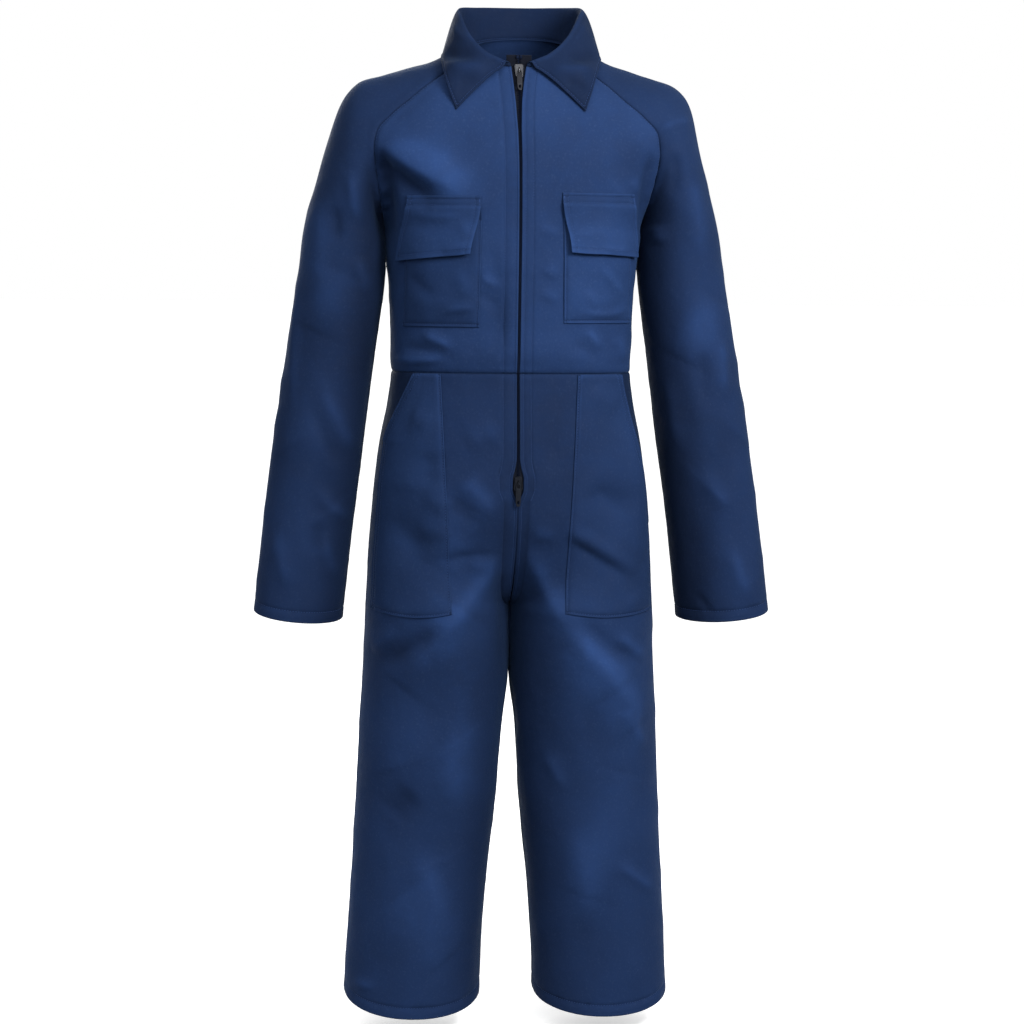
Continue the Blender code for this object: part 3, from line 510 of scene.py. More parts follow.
def bodice_surface(across: np.ndarray, step: np.ndarray, side: int = 1, back: bool = False) -> np.ndarray:
    """Find points of the front or the back of the bodice.

    Args:
        across: 0 to 1 from the middle to the side or raglan seam.
        step: 0 to 2 from the waist by the underarm to the neck.
        side: 1 for the wearer's left, -1 for the right.
        back: Whether it is the back.

    Returns:
        A place for each pair.
    """
    face = "back" if back else "front"
    middle_y, middle_z = along(BODICE, face + "_y", step), along(BODICE, face + "_z", step)
    sweep = np.radians(along(BODICE, face + "_sweep", step))
    raglan = sleeve_surface(np.full(np.shape(step), 1.0 if back else 0.0), 2 - np.maximum(step, 1))
    side_x, side_z = along(BODICE, "side_x", step), along(BODICE, "front_z", step)
    seam = np.stack([side_x, np.zeros_like(step), side_z], -1)
    seam = np.where((step > 1)[..., None], raglan, seam)
    angle = sweep * across
    out = (np.sin(angle) / np.sin(sweep)) ** CORNER_POWER
    ahead, last = (np.maximum(np.cos(a), 0) ** CORNER_POWER for a in (angle, sweep))
    round_y = (1 - ahead) / (1 - last)
    x = seam[..., 0] * out
    y = middle_y + (seam[..., 1] - middle_y) * round_y
    z = middle_z + (seam[..., 2] - middle_z) * across**2
    return np.stack([side * x, y, z], -1)


def trouser_surface(across: np.ndarray, step: np.ndarray, side: int = 1, back: bool = False) -> np.ndarray:
    """Find points of one leg.

    Args:
        across: 0 to 1 from the rise or inseam to the side seam.
        step: 0 to 1 from the waist to the hem.
        side: 1 for the wearer's left, -1 for the right.
        back: Whether it is the back.

    Returns:
        A place for each pair.
    """
    row = {name: along(TROUSER, name, step) for name in TROUSER}
    split = np.clip(row["split"], 0, 1)
    trunk_y = row["trunk_back"] if back else row["trunk_front"]
    leg_y = row["leg_back"] if back else row["leg_front"]
    quarter, half = across * np.pi / 2, across * np.pi
    trunk_x = row["side_x"] * np.sin(quarter) ** CORNER_POWER
    trunk_y = trunk_y * np.maximum(np.cos(quarter), 0) ** CORNER_POWER
    middle_x, half_x = (row["side_x"] + row["inner_x"]) / 2, (row["side_x"] - row["inner_x"]) / 2
    leg_x = middle_x - half_x * np.cos(half)
    leg_y = leg_y * np.maximum(np.sin(half), 0) ** CORNER_POWER
    x = trunk_x * (1 - split) + leg_x * split
    y = trunk_y * (1 - split) + leg_y * split
    z = row["side_z"] + (row["edge_z"] - row["side_z"]) * (1 - across) ** 2
    z = z + row["drop"] * np.sin(half) * (1 if back else -1)
    return np.stack([side * x, y, z], -1)


def zip_gap(z: np.ndarray) -> np.ndarray:
    """Half the width of the slit at each height."""
    return np.interp(z, ZIP_EDGE["z"], ZIP_EDGE["half_gap"])


def posed(points: np.ndarray) -> np.ndarray:
    """Turn the neck a little against the shoulders.

    Args:
        points: Places in millimetres.

    Returns:
        The moved places.
    """
    high = ease(points[..., 2], NECK_TURN_LOW_Z, NECK_TURN_HIGH_Z)
    moved = points.copy()
    moved[..., 0] += NECK_TURN * high * (points[..., 1] - NECK_FRONT_Y)
    return moved


def front_centre(z: np.ndarray | float) -> np.ndarray:
    """Find the depth of the middle of the front.

    Args:
        z: Heights.

    Returns:
        A depth for each.
    """
    upper = bodice_surface(np.zeros(200), np.linspace(2, 0, 200))
    lower = trouser_surface(np.zeros(200), np.linspace(0, 0.4, 200))
    line = np.concatenate([upper, lower])[::-1]
    return np.interp(z, line[:, 2], line[:, 1])


def unit(vectors: np.ndarray) -> np.ndarray:
    """The same directions with a length of 1."""
    return vectors / np.maximum(np.linalg.norm(vectors, axis=-1, keepdims=True), 1e-9)


def normals(points: np.ndarray) -> np.ndarray:
    """A unit vector for each point of a grid, square to its rows and columns."""
    rows, columns = np.gradient(points, axis=0), np.gradient(points, axis=1)
    return unit(np.cross(columns, rows))


def running(points: np.ndarray, axis: int = 0) -> np.ndarray:
    """Measure the running length along one direction of a grid.

    Args:
        points: The grid.
        axis: 0 down the rows, 1 across the columns.

    Returns:
        Length from the first line to each point.
    """
    steps = np.linalg.norm(np.diff(points, axis=axis), axis=-1)
    start = np.zeros_like(steps.take([0], axis))
    return np.concatenate([start, np.cumsum(steps, axis)], axis)


def places(bounds: np.ndarray, low: Sequence[float], high: Sequence[float], spacing: float) -> np.ndarray:
    """Choose where the lines of points lie along a piece of cloth.

    Args:
        bounds: Running length at the piece's ends and breaks, one column for each line across it.
        low: Distances from the first end where a line is needed.
        high: Distances from the last end where a line is needed.
        spacing: Distance between the other lines.

    Returns:
        Running length of each line of points, one column for each line across.
    """
    inner = bounds.copy()
    inner[0] += low[-1]
    inner[-1] -= high[-1]
    parts = [bounds[0] + np.array(low[:-1])[:, None]]
    for first, last in zip(inner, inner[1:]):
        span = last - first
        count = max(2, int(np.ceil((np.mean(span) + np.max(span)) / 2 / spacing)))
        parts.append(first + span * np.linspace(0, 1, count + 1)[:-1, None])
    parts.append(bounds[-1] - np.array(high[::-1])[:, None])
    return np.concatenate(parts)


def relaid(points: np.ndarray, lengths: np.ndarray) -> np.ndarray:
    """Move the rows of a grid along its own lines.

    Args:
        points: The grid.
        lengths: Running lengths of the new rows on each line.

    Returns:
        The new grid.
    """
    old = running(points)
    laid = np.empty(lengths.shape + (3,))
    for line in range(points.shape[1]):
        for axis in range(3):
            laid[:, line, axis] = np.interp(lengths[:, line], old[:, line], points[:, line, axis])
    return laid


def soft_noise(points: np.ndarray, size: Sequence[float], seed: int) -> np.ndarray:
    """Smooth unevenness that depends on a place alone, so it carries on across a seam.

    Args:
        points: Places in millimetres.
        size: Size of the lumps in X, Y and Z.
        seed: Which pattern.

    Returns:
        A number of about -1 to 1 for each place.
    """
    lattice = np.random.default_rng(seed).uniform(-1, 1, (64, 32, 96))
    at = points / np.array(size) + 300.5
    cell = np.floor(at).astype(int)
    t = at - cell
    t = t * t * (3 - 2 * t)
    total = np.zeros(points.shape[:-1])
    for corner in np.ndindex(2, 2, 2):
        index = tuple((cell[..., i] + corner[i]) % lattice.shape[i] for i in range(3))
        weight = np.prod([t[..., i] if corner[i] else 1 - t[..., i] for i in range(3)], axis=0)
        total += lattice[index] * weight
    return total


def uneven(points: np.ndarray, lumps: Sequence[tuple]) -> np.ndarray:
    """The sum of several patterns of lumps."""
    return sum(height * soft_noise(points, size, seed) for height, size, seed in lumps)


def ripple(length: np.ndarray, size: float, seed: int) -> np.ndarray:
    """Uneven small waves along a seam.

    Args:
        length: Running length along the seam.
        size: Length of a wave.
        seed: Which pattern.

    Returns:
        A number of about -1 to 1 for each length.
    """
    spots = np.random.default_rng(seed).uniform(-1, 1, 512)
    at = length / size
    cell = np.floor(at).astype(int)
    t = at - cell
    t = t * t * (3 - 2 * t)
    return spots[cell % 512] * (1 - t) + spots[(cell + 1) % 512] * t


def fold_lift(points: np.ndarray, folds: Table) -> np.ndarray:
    """Height of the source's large soft folds.

    Args:
        points: Places in millimetres.
        folds: Their table.

    Returns:
        A height for each place.
    """
    x, z = points[..., 0], points[..., 2]
    lift = np.zeros(x.shape)
    for x1, z1, x2, z2, width, height in zip(*folds.values()):
        run = np.array([x2 - x1, z2 - z1])
        t = np.clip(((x - x1) * run[0] + (z - z1) * run[1]) / (run @ run), 0, 1)
        away = np.hypot(x - x1 - t * run[0], z - z1 - t * run[1])
        lift += height * np.exp(-((away / width) ** 2)) * np.sqrt(np.clip(4 * t * (1 - t), 0, 1))
    return lift


def crease_lift(view: np.ndarray, creases: Table) -> np.ndarray:
    """Height of the listed creases.

    Args:
        view: Places in the view that the table is drawn in.
        creases: The table.

    Returns:
        A height for each place.
    """
    lift = np.zeros(view.shape[:-1])
    share = np.linspace(0, 1, CREASE_RUNS + 1)[:, None]
    for *marks, above, below, height in zip(*creases.values()):
        start, middle, end = marks = np.reshape(marks, (3, 2))
        reach = 2.2 * max(above, below)
        box = ((view > marks.min(0) - reach) & (view < marks.max(0) + reach)).all(-1)
        if not box.any():
            continue
        bend = 2 * middle - (start + end) / 2
        line = start * (1 - share) ** 2 + 2 * bend * share * (1 - share) + end * share**2
        near, at, sign = np.full(box.sum(), np.inf), np.zeros(box.sum()), np.ones(box.sum())
        for i, (run_x, run_z) in enumerate(np.diff(line, axis=0)):
            off_x, off_z = (view[box] - line[i]).T
            t = np.clip((off_x * run_x + off_z * run_z) / (run_x**2 + run_z**2), 0, 1)
            off_x, off_z = off_x - t * run_x, off_z - t * run_z
            away = np.hypot(off_x, off_z)
            closer = away < near
            near = np.where(closer, away, near)
            at = np.where(closer, (i + t) / CREASE_RUNS, at)
            up = np.sign((off_z * run_x - off_x * run_z) * (1 if run_x >= 0 else -1))
            sign = np.where(closer, up, sign)
        width = np.where(sign >= 0, above, below)
        fade = ease(np.minimum(at, 1 - at), -0.04, 0.36)
        lift[box] += height * np.exp(-((near / width) ** 1.8)) * fade
    return lift * CREASE_GAIN


def cloth_lift(
    points: np.ndarray, outward: np.ndarray, side_creases: Table, flank_share: np.ndarray | float = 1.0
) -> np.ndarray:
    """Creases and unevenness of the cloth, the same on both sides of a seam.

    Args:
        points: Places in millimetres.
        outward: Which way the cloth faces there.
        side_creases: The creases that show from the side.
        flank_share: How much of those is kept.

    Returns:
        A height for each place.
    """
    side = np.where(points[..., 0] < 0, -1, 1)
    front, back = ease(-outward[..., 1], -0.1, 0.45), ease(outward[..., 1], -0.1, 0.45)
    flank = ease(outward[..., 0] * side, 0.45, 0.85)
    lift = front * crease_lift(points[..., FRONT_VIEW], FRONT_CREASES)
    lift += back * crease_lift(points[..., FRONT_VIEW], BACK_CREASES)
    shifted = points[..., 2] + np.where(side < 0, FLANK[Side.RIGHT], FLANK[Side.LEFT])
    side_view = np.stack([points[..., 1], shifted], -1)
    lift += FLANK_GAIN * flank * flank_share * crease_lift(side_view, side_creases)
    return lift + uneven(points, CLOTH_LUMPS) * (1 - FLANK_CALM * flank)


class EdgeKind(Enum):
    """How an edge of a cloth piece is finished."""

    SEAM = "seam"
    FOLD = "fold"
    HEM = "hem"
    ZIP = "zip"


# Where each kind of edge, and each row of stitches, needs lines of points.
NEAR_EDGE = {
    EdgeKind.SEAM: (0.0, 0.6, 1.3, 2.4),
    EdgeKind.FOLD: (0.0, 0.25, 0.7, 1.6),
    EdgeKind.HEM: (0.0, 0.8, 2.0),
    EdgeKind.ZIP: (0.0, 0.3, 0.8, 1.6),
}
BESIDE_STITCHES = (-0.9, 0.0, 0.9)

# A piece's edges: the left and right ends of its rows, and its first and last row.
UPRIGHT = ("left", "right")
LEVEL = ("first", "last")
EDGES = UPRIGHT + LEVEL
MEETS = {word: LEVEL for word in UPRIGHT} | {word: UPRIGHT for word in LEVEL}

# A turned hem: how far it reaches past its stitches, the gap inside it, how it bends in degrees, how far
# up its inner layer has rows, and how worn its first rows are.
HEM_OVER = 2.0
HEM_CLEAR = 0.06
HEM_TURNS = (40, 80, 120, 160)
HEM_REACHES = (0.5, 3.5, 6.5, 9.5)
HEM_ROWS = len(HEM_TURNS) + len(HEM_REACHES) + 1
HEM_WEAR = (0.8, 0.5, 0.2)


def nearest(away: Distances, words: Sequence[str] = EDGES) -> np.ndarray:
    """The distance to the nearest of the named edges."""
    return np.minimum.reduce([away[word] for word in words])


@dataclass(frozen=True)
class Edge:
    """One edge of a cloth piece and the rows of stitches beside it."""

    kind: EdgeKind
    stitches: tuple[float, ...] = ()
    seam_depth: float = 0.85
    seam_width: float = 1.0
    seam_swell: float = 0.3
    fold_radius: float = 0.8
    stitch_depth: float = 0.7
    stitch_width: float = 0.9
    pucker: float = 0.26
    pucker_reach: float = 7.0
    short_wave: float = 6.0
    long_wave: float = 13.0
    hem_swell: float = 0.28

    def stations(self) -> list[float]:
        """Choose where the cloth needs lines of points.

        Returns:
            Distances from the edge.
        """
        lines = [row + shift for row in self.stitches for shift in BESIDE_STITCHES]
        lines += [near for near in NEAR_EDGE[self.kind] if all(abs(near - line) > 0.3 for line in lines)]
        return sorted(lines)

    def relief(
        self, away: np.ndarray, length: np.ndarray, to_end: np.ndarray, open_share: np.ndarray, seed: int
    ) -> np.ndarray:
        """Height of the edge's own finish.

        Args:
            away: Distance from the edge.
            length: Running length along the edge.
            to_end: Distance from the nearer of the two edges that it meets, where its waves end.
            open_share: How far a zip edge is open there, from 0 to 1.
            seed: Which pattern of small waves.

        Returns:
            A height for each point.
        """
        seam = -self.seam_depth * np.exp(-((away / self.seam_width) ** 1.6))
        seam += self.seam_swell * ease(away, 1.0, 2.6) * (1 - ease(away, 6, 11))
        inside = np.clip(1 - away / self.fold_radius, 0, 1)
        fold = -self.fold_radius * (1 - np.sqrt(1 - inside**2))
        waves = ripple(length, self.short_wave, seed) + 0.6 * ripple(length, self.long_wave, seed + 1)
        waves *= ease(to_end, 0, 8)
        puckered = self.pucker * waves * ease(away, 0, 2) * np.exp(-away / self.pucker_reach)
        if self.kind is EdgeKind.SEAM:
            lift = seam + puckered
        elif self.kind is EdgeKind.FOLD:
            lift = fold + 0.5 * puckered
        elif self.kind is EdgeKind.ZIP:
            lift = seam * (1 - open_share) + fold * open_share + 0.7 * puckered
        else:
            depth = self.stitches[0]
            lift = self.hem_swell * (1 - ease(away, depth - 1.4, depth - 0.2))
            lift = lift + self.pucker * waves * np.exp(-((away - depth) ** 2) / 40)
        for row in self.stitches:
            lift = lift - self.stitch_depth * np.exp(-(((away - row) / self.stitch_width) ** 2))
        return lift


def edged(*edges: Edge) -> dict[str, Edge]:
    """Name a piece's left, right, first and last edge."""
    return dict(zip(EDGES, edges))


class Sewing:
    """Stitches of one sub-assembly, gathered as frames and made into one mesh."""

    def __init__(self, name: str, thread: Material) -> None:
        """Start with no stitches.

        Args:
            name: Name of the finished piece.
            thread: Its material.
        """
        self.name, self.thread = name, thread
        self.frames: list[np.ndarray] = []
        self.rng = np.random.default_rng(len(name) * 7 + ord(name[-1]))

    def row(
        self,
        path: np.ndarray,
        outward: np.ndarray,
        pitch: float = 3.1,
        length: float = 2.35,
        width: float = 0.52,
        sink: float = -0.06,
    ) -> None:
        """Sew a row of stitches along a line on the cloth.

        Args:
            path: Places along the line.
            outward: Which way the cloth faces there.
            pitch: Distance from stitch to stitch.
            length: Length of a stitch.
            width: Width of the thread.
            sink: How deep a stitch's middle lies in the cloth.
        """
        run = np.concatenate([[0], np.cumsum(np.linalg.norm(np.diff(path, axis=0), axis=1))])
        count = int(run[-1] // pitch)
        if count < 1:
            return
        middles = (np.arange(count) + 0.5) * run[-1] / count
        place, ahead, behind, up = (
            np.stack([np.interp(middles + shift, run, values[:, i]) for i in range(3)], -1)
            for values, shift in ((path, 0), (path, 0.8), (path, -0.8), (outward, 0))
        )
        tangent = unit(ahead - behind)
        across = unit(np.cross(up, tangent))
        up = np.cross(tangent, across)
        tangent = tangent + across * self.rng.normal(0, 0.035, (count, 1))
        frames = np.zeros((count, 4, 4))
        frames[:, :3, 0] = tangent * length / 2 * self.rng.uniform(0.93, 1.05, (count, 1))
        frames[:, :3, 1] = across * width / 2
        frames[:, :3, 2] = up * width / 2
        frames[:, :3, 3] = place - up * sink
        frames[:, 3, 3] = 1
        self.frames.append(frames)

    def bar(self, start: np.ndarray, end: np.ndarray, up: np.ndarray, width: float = 1.9) -> None:
        """Sew a bar of close cross stitches that keeps a corner from tearing.

        Args:
            start: One end of the bar.
            end: Its other end.
            up: Which way the cloth faces there.
            width: Width of the bar.
        """
        run = end - start
        length = np.linalg.norm(run)
        across = np.cross(up, run / length)
        count = int(length / 0.42)
        for i in range(count):
            middle = start + run * (i + 0.5) / count + up * 0.16
            lean = run / length * 0.25 * (1 if i % 2 else -1)
            ends = np.stack([middle - across * width / 2 - lean, middle + across * width / 2 + lean])
            self.row(ends, np.stack([up, up]), pitch=width * 0.8, length=width, width=0.44, sink=0)

    def build(self) -> None:
        """Join the stitches into one piece."""
        seed = bmesh.new()
        bmesh.ops.create_icosphere(seed, subdivisions=1, radius=1)
        made = repeated(self.name, seed, np.concatenate(self.frames), self.thread)
        made.data.shade_smooth()
        finished(made, (), "garment")


def linked(name: str, built: Shape, material: Material) -> bpy.types.Object:
    """Turn a shape into an object of the scene.

    Args:
        name: Its name.
        built: The shape, freed here.
        material: Its material.

    Returns:
        The object.
    """
    mesh = bpy.data.meshes.new(name)
    built.to_mesh(mesh)
    built.free()
    mesh.materials.append(material)
    made = bpy.data.objects.new(name, mesh)
    bpy.context.scene.collection.objects.link(made)
    return made


def repeated(name: str, seed: Shape, frames: np.ndarray, material: Material) -> bpy.types.Object:
    """Repeat a small shape at many frames as one joined mesh.

    Args:
        name: Name of the piece.
        seed: The small shape, freed here.
        frames: A matrix in millimetres for each copy.
        material: The material of them all.

    Returns:
        The piece.
    """
    single = bpy.data.meshes.new(name)
    seed.to_mesh(single)
    seed.free()
    corners = np.array([(*vertex.co, 1.0) for vertex in single.vertices])
    joined = bmesh.new()
    for _ in frames:
        joined.from_mesh(single)
    bpy.data.meshes.remove(single)
    made = linked(name, joined, material)
    placed = np.einsum("nij,vj->nvi", frames, corners)[..., :3] * MM
    made.data.vertices.foreach_set("co", placed.ravel())
    made.data.update()
    return made


def bevelled(built: Shape, edges: Sequence[bmesh.types.BMEdge], offset: float, segments: int) -> None:
    """Round some edges of a shape."""
    bmesh.ops.bevel(
        built, geom=edges, offset=offset, segments=segments, profile=0.5, affect="EDGES", material=-1
    )


def sharp_edges(built: Shape, angle: float) -> list[bmesh.types.BMEdge]:
    """The edges whose faces meet at more than an angle."""
    return [edge for edge in built.edges if edge.is_manifold and edge.calc_face_angle(0) > angle]


def joined_edges(vertices: Sequence[bmesh.types.BMVert]) -> list[bmesh.types.BMEdge]:
    """Every edge that ends at one of the vertices, once each and always in the same order."""
    return list(dict.fromkeys(edge for vertex in vertices for edge in vertex.link_edges))


def finished(made: bpy.types.Object, nodes: Sequence[str], body: str) -> None:
    """Attach a finished piece to its body, hide the solids that it stands for and log its triangles.

    Args:
        made: The piece.
        nodes: The solids that it stands for.
        body: The body that it rides on.
    """
    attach(made, body)
    if nodes:
        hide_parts(*nodes)
    made.data.calc_loop_triangles()
    log.info("%s: %d triangles before its modifiers", made.name, len(made.data.loop_triangles))


@dataclass
class Panel:
    """A piece of cloth on a fine grid, with rows along its length and columns across it."""

    name: str
    edges: dict[str, Edge]
    facing: int
    seed: int
    spacing: float = 3.3
    thickness: float = CLOTH
    hem: float = 0.0
    # Painted light and shade: how much lighter or darker the whole piece is made, how much its side that
    # faces the body is darkened and, below, how strongly its crease ridges are lightened and troughs
    # darkened.
    shade: float = 1.0
    inner_dark: float = 0.0
    back: bool = False
    ridge_gain: float = 0.045
    calm: np.ndarray | float = 1.0
    tube_row: int | None = None
    points: np.ndarray = field(init=False)
    outward: np.ndarray = field(init=False)
    groove: np.ndarray = field(init=False)
    wear: np.ndarray = field(init=False)
    tone: np.ndarray = field(init=False)

    def lay(self, dense: np.ndarray, breaks: Sequence[int]) -> None:
        """Lay the grid on a surface, with lines at its edges, its stitch rows and its breaks.

        Args:
            dense: Close points of the surface.
            breaks: Rows of the dense points that need a row of the grid, its ends among them.
        """
        stations = {word: edge.stations() for word, edge in self.edges.items()}
        widths = running(dense, 1)[:, [0, -1]].T
        across = places(widths, stations["left"], stations["right"], self.spacing)
        columns = relaid(dense.swapaxes(0, 1), across).swapaxes(0, 1)
        lengths = running(columns)[list(breaks)]
        self.points = relaid(columns, places(lengths, stations["first"], stations["last"], self.spacing))
        self.turn_outward()

    def lay_on(self, tree: BVHTree, x: np.ndarray, z: np.ndarray) -> Distances:
        """Lay the grid on the outer face of the panel that the piece is sewn to.

        Args:
            tree: Search tree of the panel below.
            x: Places across the front view, on a close grid.
            z: Their heights.

        Returns:
            Distances by the edge's name.
        """
        dense = smoothed(cast(tree, x, z), 2)
        self.lay(dense, (0, len(dense) - 1))
        self.outward = unit(smoothed(self.outward, 6))
        return self.distances()

    def turn_outward(self) -> None:
        """Find which way the cloth faces at each point."""
        self.outward = normals(self.points) * self.facing

    def distances(self) -> Distances:
        """Measure how far each point is from each edge, by the edge's name."""
        across, down = running(self.points, 1), running(self.points)
        return {"left": across, "right": across[:, -1:] - across, "first": down, "last": down[-1:] - down}

    def relieve(
        self, lift: np.ndarray, open_share: np.ndarray | float = 0.0, on_posed: bool = False
    ) -> None:
        """Raise the cloth by its creases and by the finish of its edges.

        Args:
            lift: Height of the creases.
            open_share: How far the zip edge on the left is open in each row.
            on_posed: Whether the piece was laid on a panel whose neck is turned already.
        """
        away = self.distances()
        shut = np.zeros(self.points.shape[:2])
        opened = shut + np.reshape(open_share, (-1, 1))
        edges = np.zeros_like(shut)
        for number, (word, edge) in enumerate(self.edges.items()):
            share = opened if word == "left" else shut
            ends = nearest(away, MEETS[word])
            edges += edge.relief(away[word], away[MEETS[word][0]], ends, share, self.seed * 10 + number * 2)
        # Painted shade: the colour is darkened in seam and stitch grooves and at fold edges, where shade
        # falls.
        self.groove = np.clip(-edges / 1.2, 0, 1)
        # Worn, lighter edges, plus a painted highlight on the ridges of creases.
        self.wear = 0.35 * np.exp(-nearest(away) / 2.2) * (1 - self.groove) + np.clip(lift / 9, 0, 0.5)
        # Painted shade on the side that faces the body, and a painted highlight on the ridges of creases and
        # lumps with painted shade in their hollows.
        inward = -self.outward[..., 0] * np.sign(self.points[..., 0])
        dark = 1 - self.inner_dark * ease(inward, -0.05, 0.85)
        self.tone = np.clip(1 + self.ridge_gain * lift, 0.5, 1.4) * dark
        settled = self.points
        self.points = settled + self.outward * ((lift + edges) * self.calm)[..., None]
        if self.tube_row is not None:
            tube = np.s_[self.tube_row :]
            self.points[tube, 0] = self.points[tube, -1] = (self.points[tube, 0] + self.points[tube, -1]) / 2
        self.points = posed(self.points)
        if on_posed:
            self.points = self.points - posed(settled) + settled
        self.turn_outward()

    def relieve_patch(self, lift: np.ndarray, away: Distances) -> None:
        """Raise a sewn-on piece, lighten its edges as worn cloth with a painted highlight, and paint a
        highlight on the cloth beside its stitches.

        Args:
            lift: Its height above the panel below.
            away: Distances from its edges.
        """
        self.relieve(lift, on_posed=True)
        # Worn edges with a painted highlight.
        self.wear = np.exp(-nearest(away) / 2.0) * (1 - self.groove)
        # Painted highlight on the puffed cloth just inside each row of stitches.
        for word, edge in self.edges.items():
            for row in edge.stitches:
                self.wear += 0.5 * np.exp(-(((away[word] - row - 2.0) / 1.1) ** 2))
        log.info("%s laid on its panel", self.name)

    def turn_up(self) -> None:
        """Fold the end of the cloth to the inside, as a hem."""
        tangent = unit(self.points[-1] - self.points[-3])
        outward, edge = self.outward[-1], self.points[-1]
        radius = self.thickness + HEM_CLEAR
        extra = [
            edge + tangent * radius * np.sin(turn) - outward * radius * (1 - np.cos(turn))
            for turn in np.radians(HEM_TURNS)
        ]
        flat, out = self.points[::-1], self.outward[::-1]
        from_edge, columns = running(flat), np.arange(len(edge))
        for reach in (*HEM_REACHES, self.hem):
            at = np.array([np.interp(reach, from_edge[:, i], np.arange(len(from_edge))) for i in columns])
            low = np.clip(np.floor(at).astype(int), 0, len(from_edge) - 2)
            share = (at - low)[:, None]
            place, face = (
                part[low, columns] * (1 - share) + part[low + 1, columns] * share for part in (flat, out)
            )
            extra.append(place - face * 2 * radius)
        blank = np.zeros((HEM_ROWS, len(edge)))
        worn = blank.copy()
        worn[: len(HEM_WEAR)] += np.array(HEM_WEAR)[:, None]
        self.points = np.concatenate([self.points, extra])
        self.outward = np.concatenate([self.outward, np.repeat(-self.outward[-1:], HEM_ROWS, axis=0)])
        self.tone = np.concatenate([self.tone, np.repeat(self.tone[-1:], HEM_ROWS, axis=0)])
        self.groove = np.concatenate([self.groove, blank])
        self.wear = np.concatenate([self.wear, worn])

    def line(self, word: str, distance: float) -> tuple[np.ndarray, np.ndarray]:
        """Find the line of points of a row of stitches.

        Args:
            word: Which edge it runs beside.
            distance: How far from the edge.

        Returns:
            Places along the line and which way the cloth faces there.
        """
        number = self.number(word, distance)
        cut = np.s_[:, number] if word in UPRIGHT else np.s_[number]
        return self.points[cut], self.outward[cut]

    def number(self, word: str, distance: float) -> int:
        """Find the number of the grid's line at a distance from an edge.

        Args:
            word: Which edge.
            distance: How far from it.

        Returns:
            The line's number, counted from the grid's start.
        """
        index = int(np.argmin([abs(station - distance) for station in self.edges[word].stations()]))
        if word in ("left", "first"):
            return index
        extra = HEM_ROWS if self.hem and word == "last" else 0
        return self.points.shape[int(word == "right")] - 1 - extra - index

    def sew(self, sewing: Sewing, words: Sequence[str] = EDGES) -> None:
        """Sew every row of stitches beside the named edges.

        Args:
            sewing: Where the stitches are gathered.
            words: Names of the edges.
        """
        for word in words:
            for distance in self.edges[word].stitches:
                path, outward = self.line(word, distance)
                if word != "last" or not self.hem:
                    start, end = (self.number(other, self.corner_inset(other)) for other in MEETS[word])
                    path, outward = path[start : end + 1], outward[start : end + 1]
                sewing.row(path, outward)

    def corner_inset(self, word: str) -> float:
        """How far from an edge the stitch rows that meet it stop."""
        edge = self.edges[word]
        return edge.stitches[0] if edge.stitches and edge.kind is not EdgeKind.SEAM else 1.3

    def build(self, finish: Material, slot: str, held: str, rests_on: Sequence[str]) -> None:
        """Args:
            finish: Its material.
            slot: Not used.
            held: Not used.
            rests_on: Not used.
        """
        rows, columns = self.points.shape[:2]
        sheet = bmesh.new()
        bmesh.ops.create_grid(sheet, x_segments=columns - 1, y_segments=rows - 1, size=1)
        if self.facing < 0:
            bmesh.ops.reverse_faces(sheet, faces=sheet.faces)
        made = linked(self.name, sheet, finish)
        mesh = made.data
        mesh.vertices.foreach_set("co", (self.points * MM).ravel())
        corners = np.zeros(len(mesh.loops), int)
        mesh.loops.foreach_get("vertex_index", corners)
        middle = np.s_[:, columns // 2 : columns // 2 + 1]
        across, down = running(self.points, 1), running(self.points[middle])
        map_u = (across - across[middle]) * MM
        flat = np.stack([map_u, down * MM + np.zeros_like(map_u)], -1).reshape(-1, 2)
        mesh.uv_layers.new(name="cloth").data.foreach_set("uv", flat[corners].ravel())
        # Painted shade in the grooves, worn edges with painted highlights, and painted light and shade per
        # point, for the shader.
        for word, values in (("groove", self.groove), ("wear", self.wear), ("shade", self.tone * self.shade)):
            mesh.attributes.new(word, "FLOAT", "POINT").data.foreach_set("value", values.ravel())
        if self.tube_row is not None:
            weld = bmesh.new()
            weld.from_mesh(mesh)
            weld.verts.ensure_lookup_table()
            starts = [row * columns for row in range(self.tube_row, rows)]
            ends = [weld.verts[start + end] for start in starts for end in (0, columns - 1)]
            bmesh.ops.remove_doubles(weld, verts=ends, dist=1e-6)
            weld.to_mesh(mesh)
            weld.free()
        mesh.shade_smooth()
        wall = made.modifiers.new("wall", "SOLIDIFY")
        wall.thickness = self.thickness * MM
        wall.offset = -1
        wall.use_even_offset = False
        finished(made, (self.name.removeprefix("cloth_"),), "garment")
        self.declare()

    def declare(self) -> None:
        """Measure the piece's running lengths across and down, and do nothing with them.
        """
        across, down = running(self.points, 1), running(self.points)


def tree_of(panels: Sequence[Panel]) -> BVHTree:
    """Make a search tree over the outer faces of finished panels.

    Args:
        panels: The panels.

    Returns:
        The tree, in millimetres.
    """
    places_of: list[list[float]] = []
    faces: list[tuple[int, int, int, int]] = []
    for panel in panels:
        rows, columns = panel.points.shape[:2]
        start = len(places_of)
        places_of += panel.points.reshape(-1, 3).tolist()
        index = np.arange(rows * columns).reshape(rows, columns) + start
        around = [index[:-1, :-1], index[:-1, 1:], index[1:, 1:], index[1:, :-1]]
        quads = np.stack(around, -1).reshape(-1, 4)[:, :: -1 if panel.facing < 0 else 1]
        faces += [tuple(quad) for quad in quads.tolist()]
    return BVHTree.FromPolygons(places_of, faces)


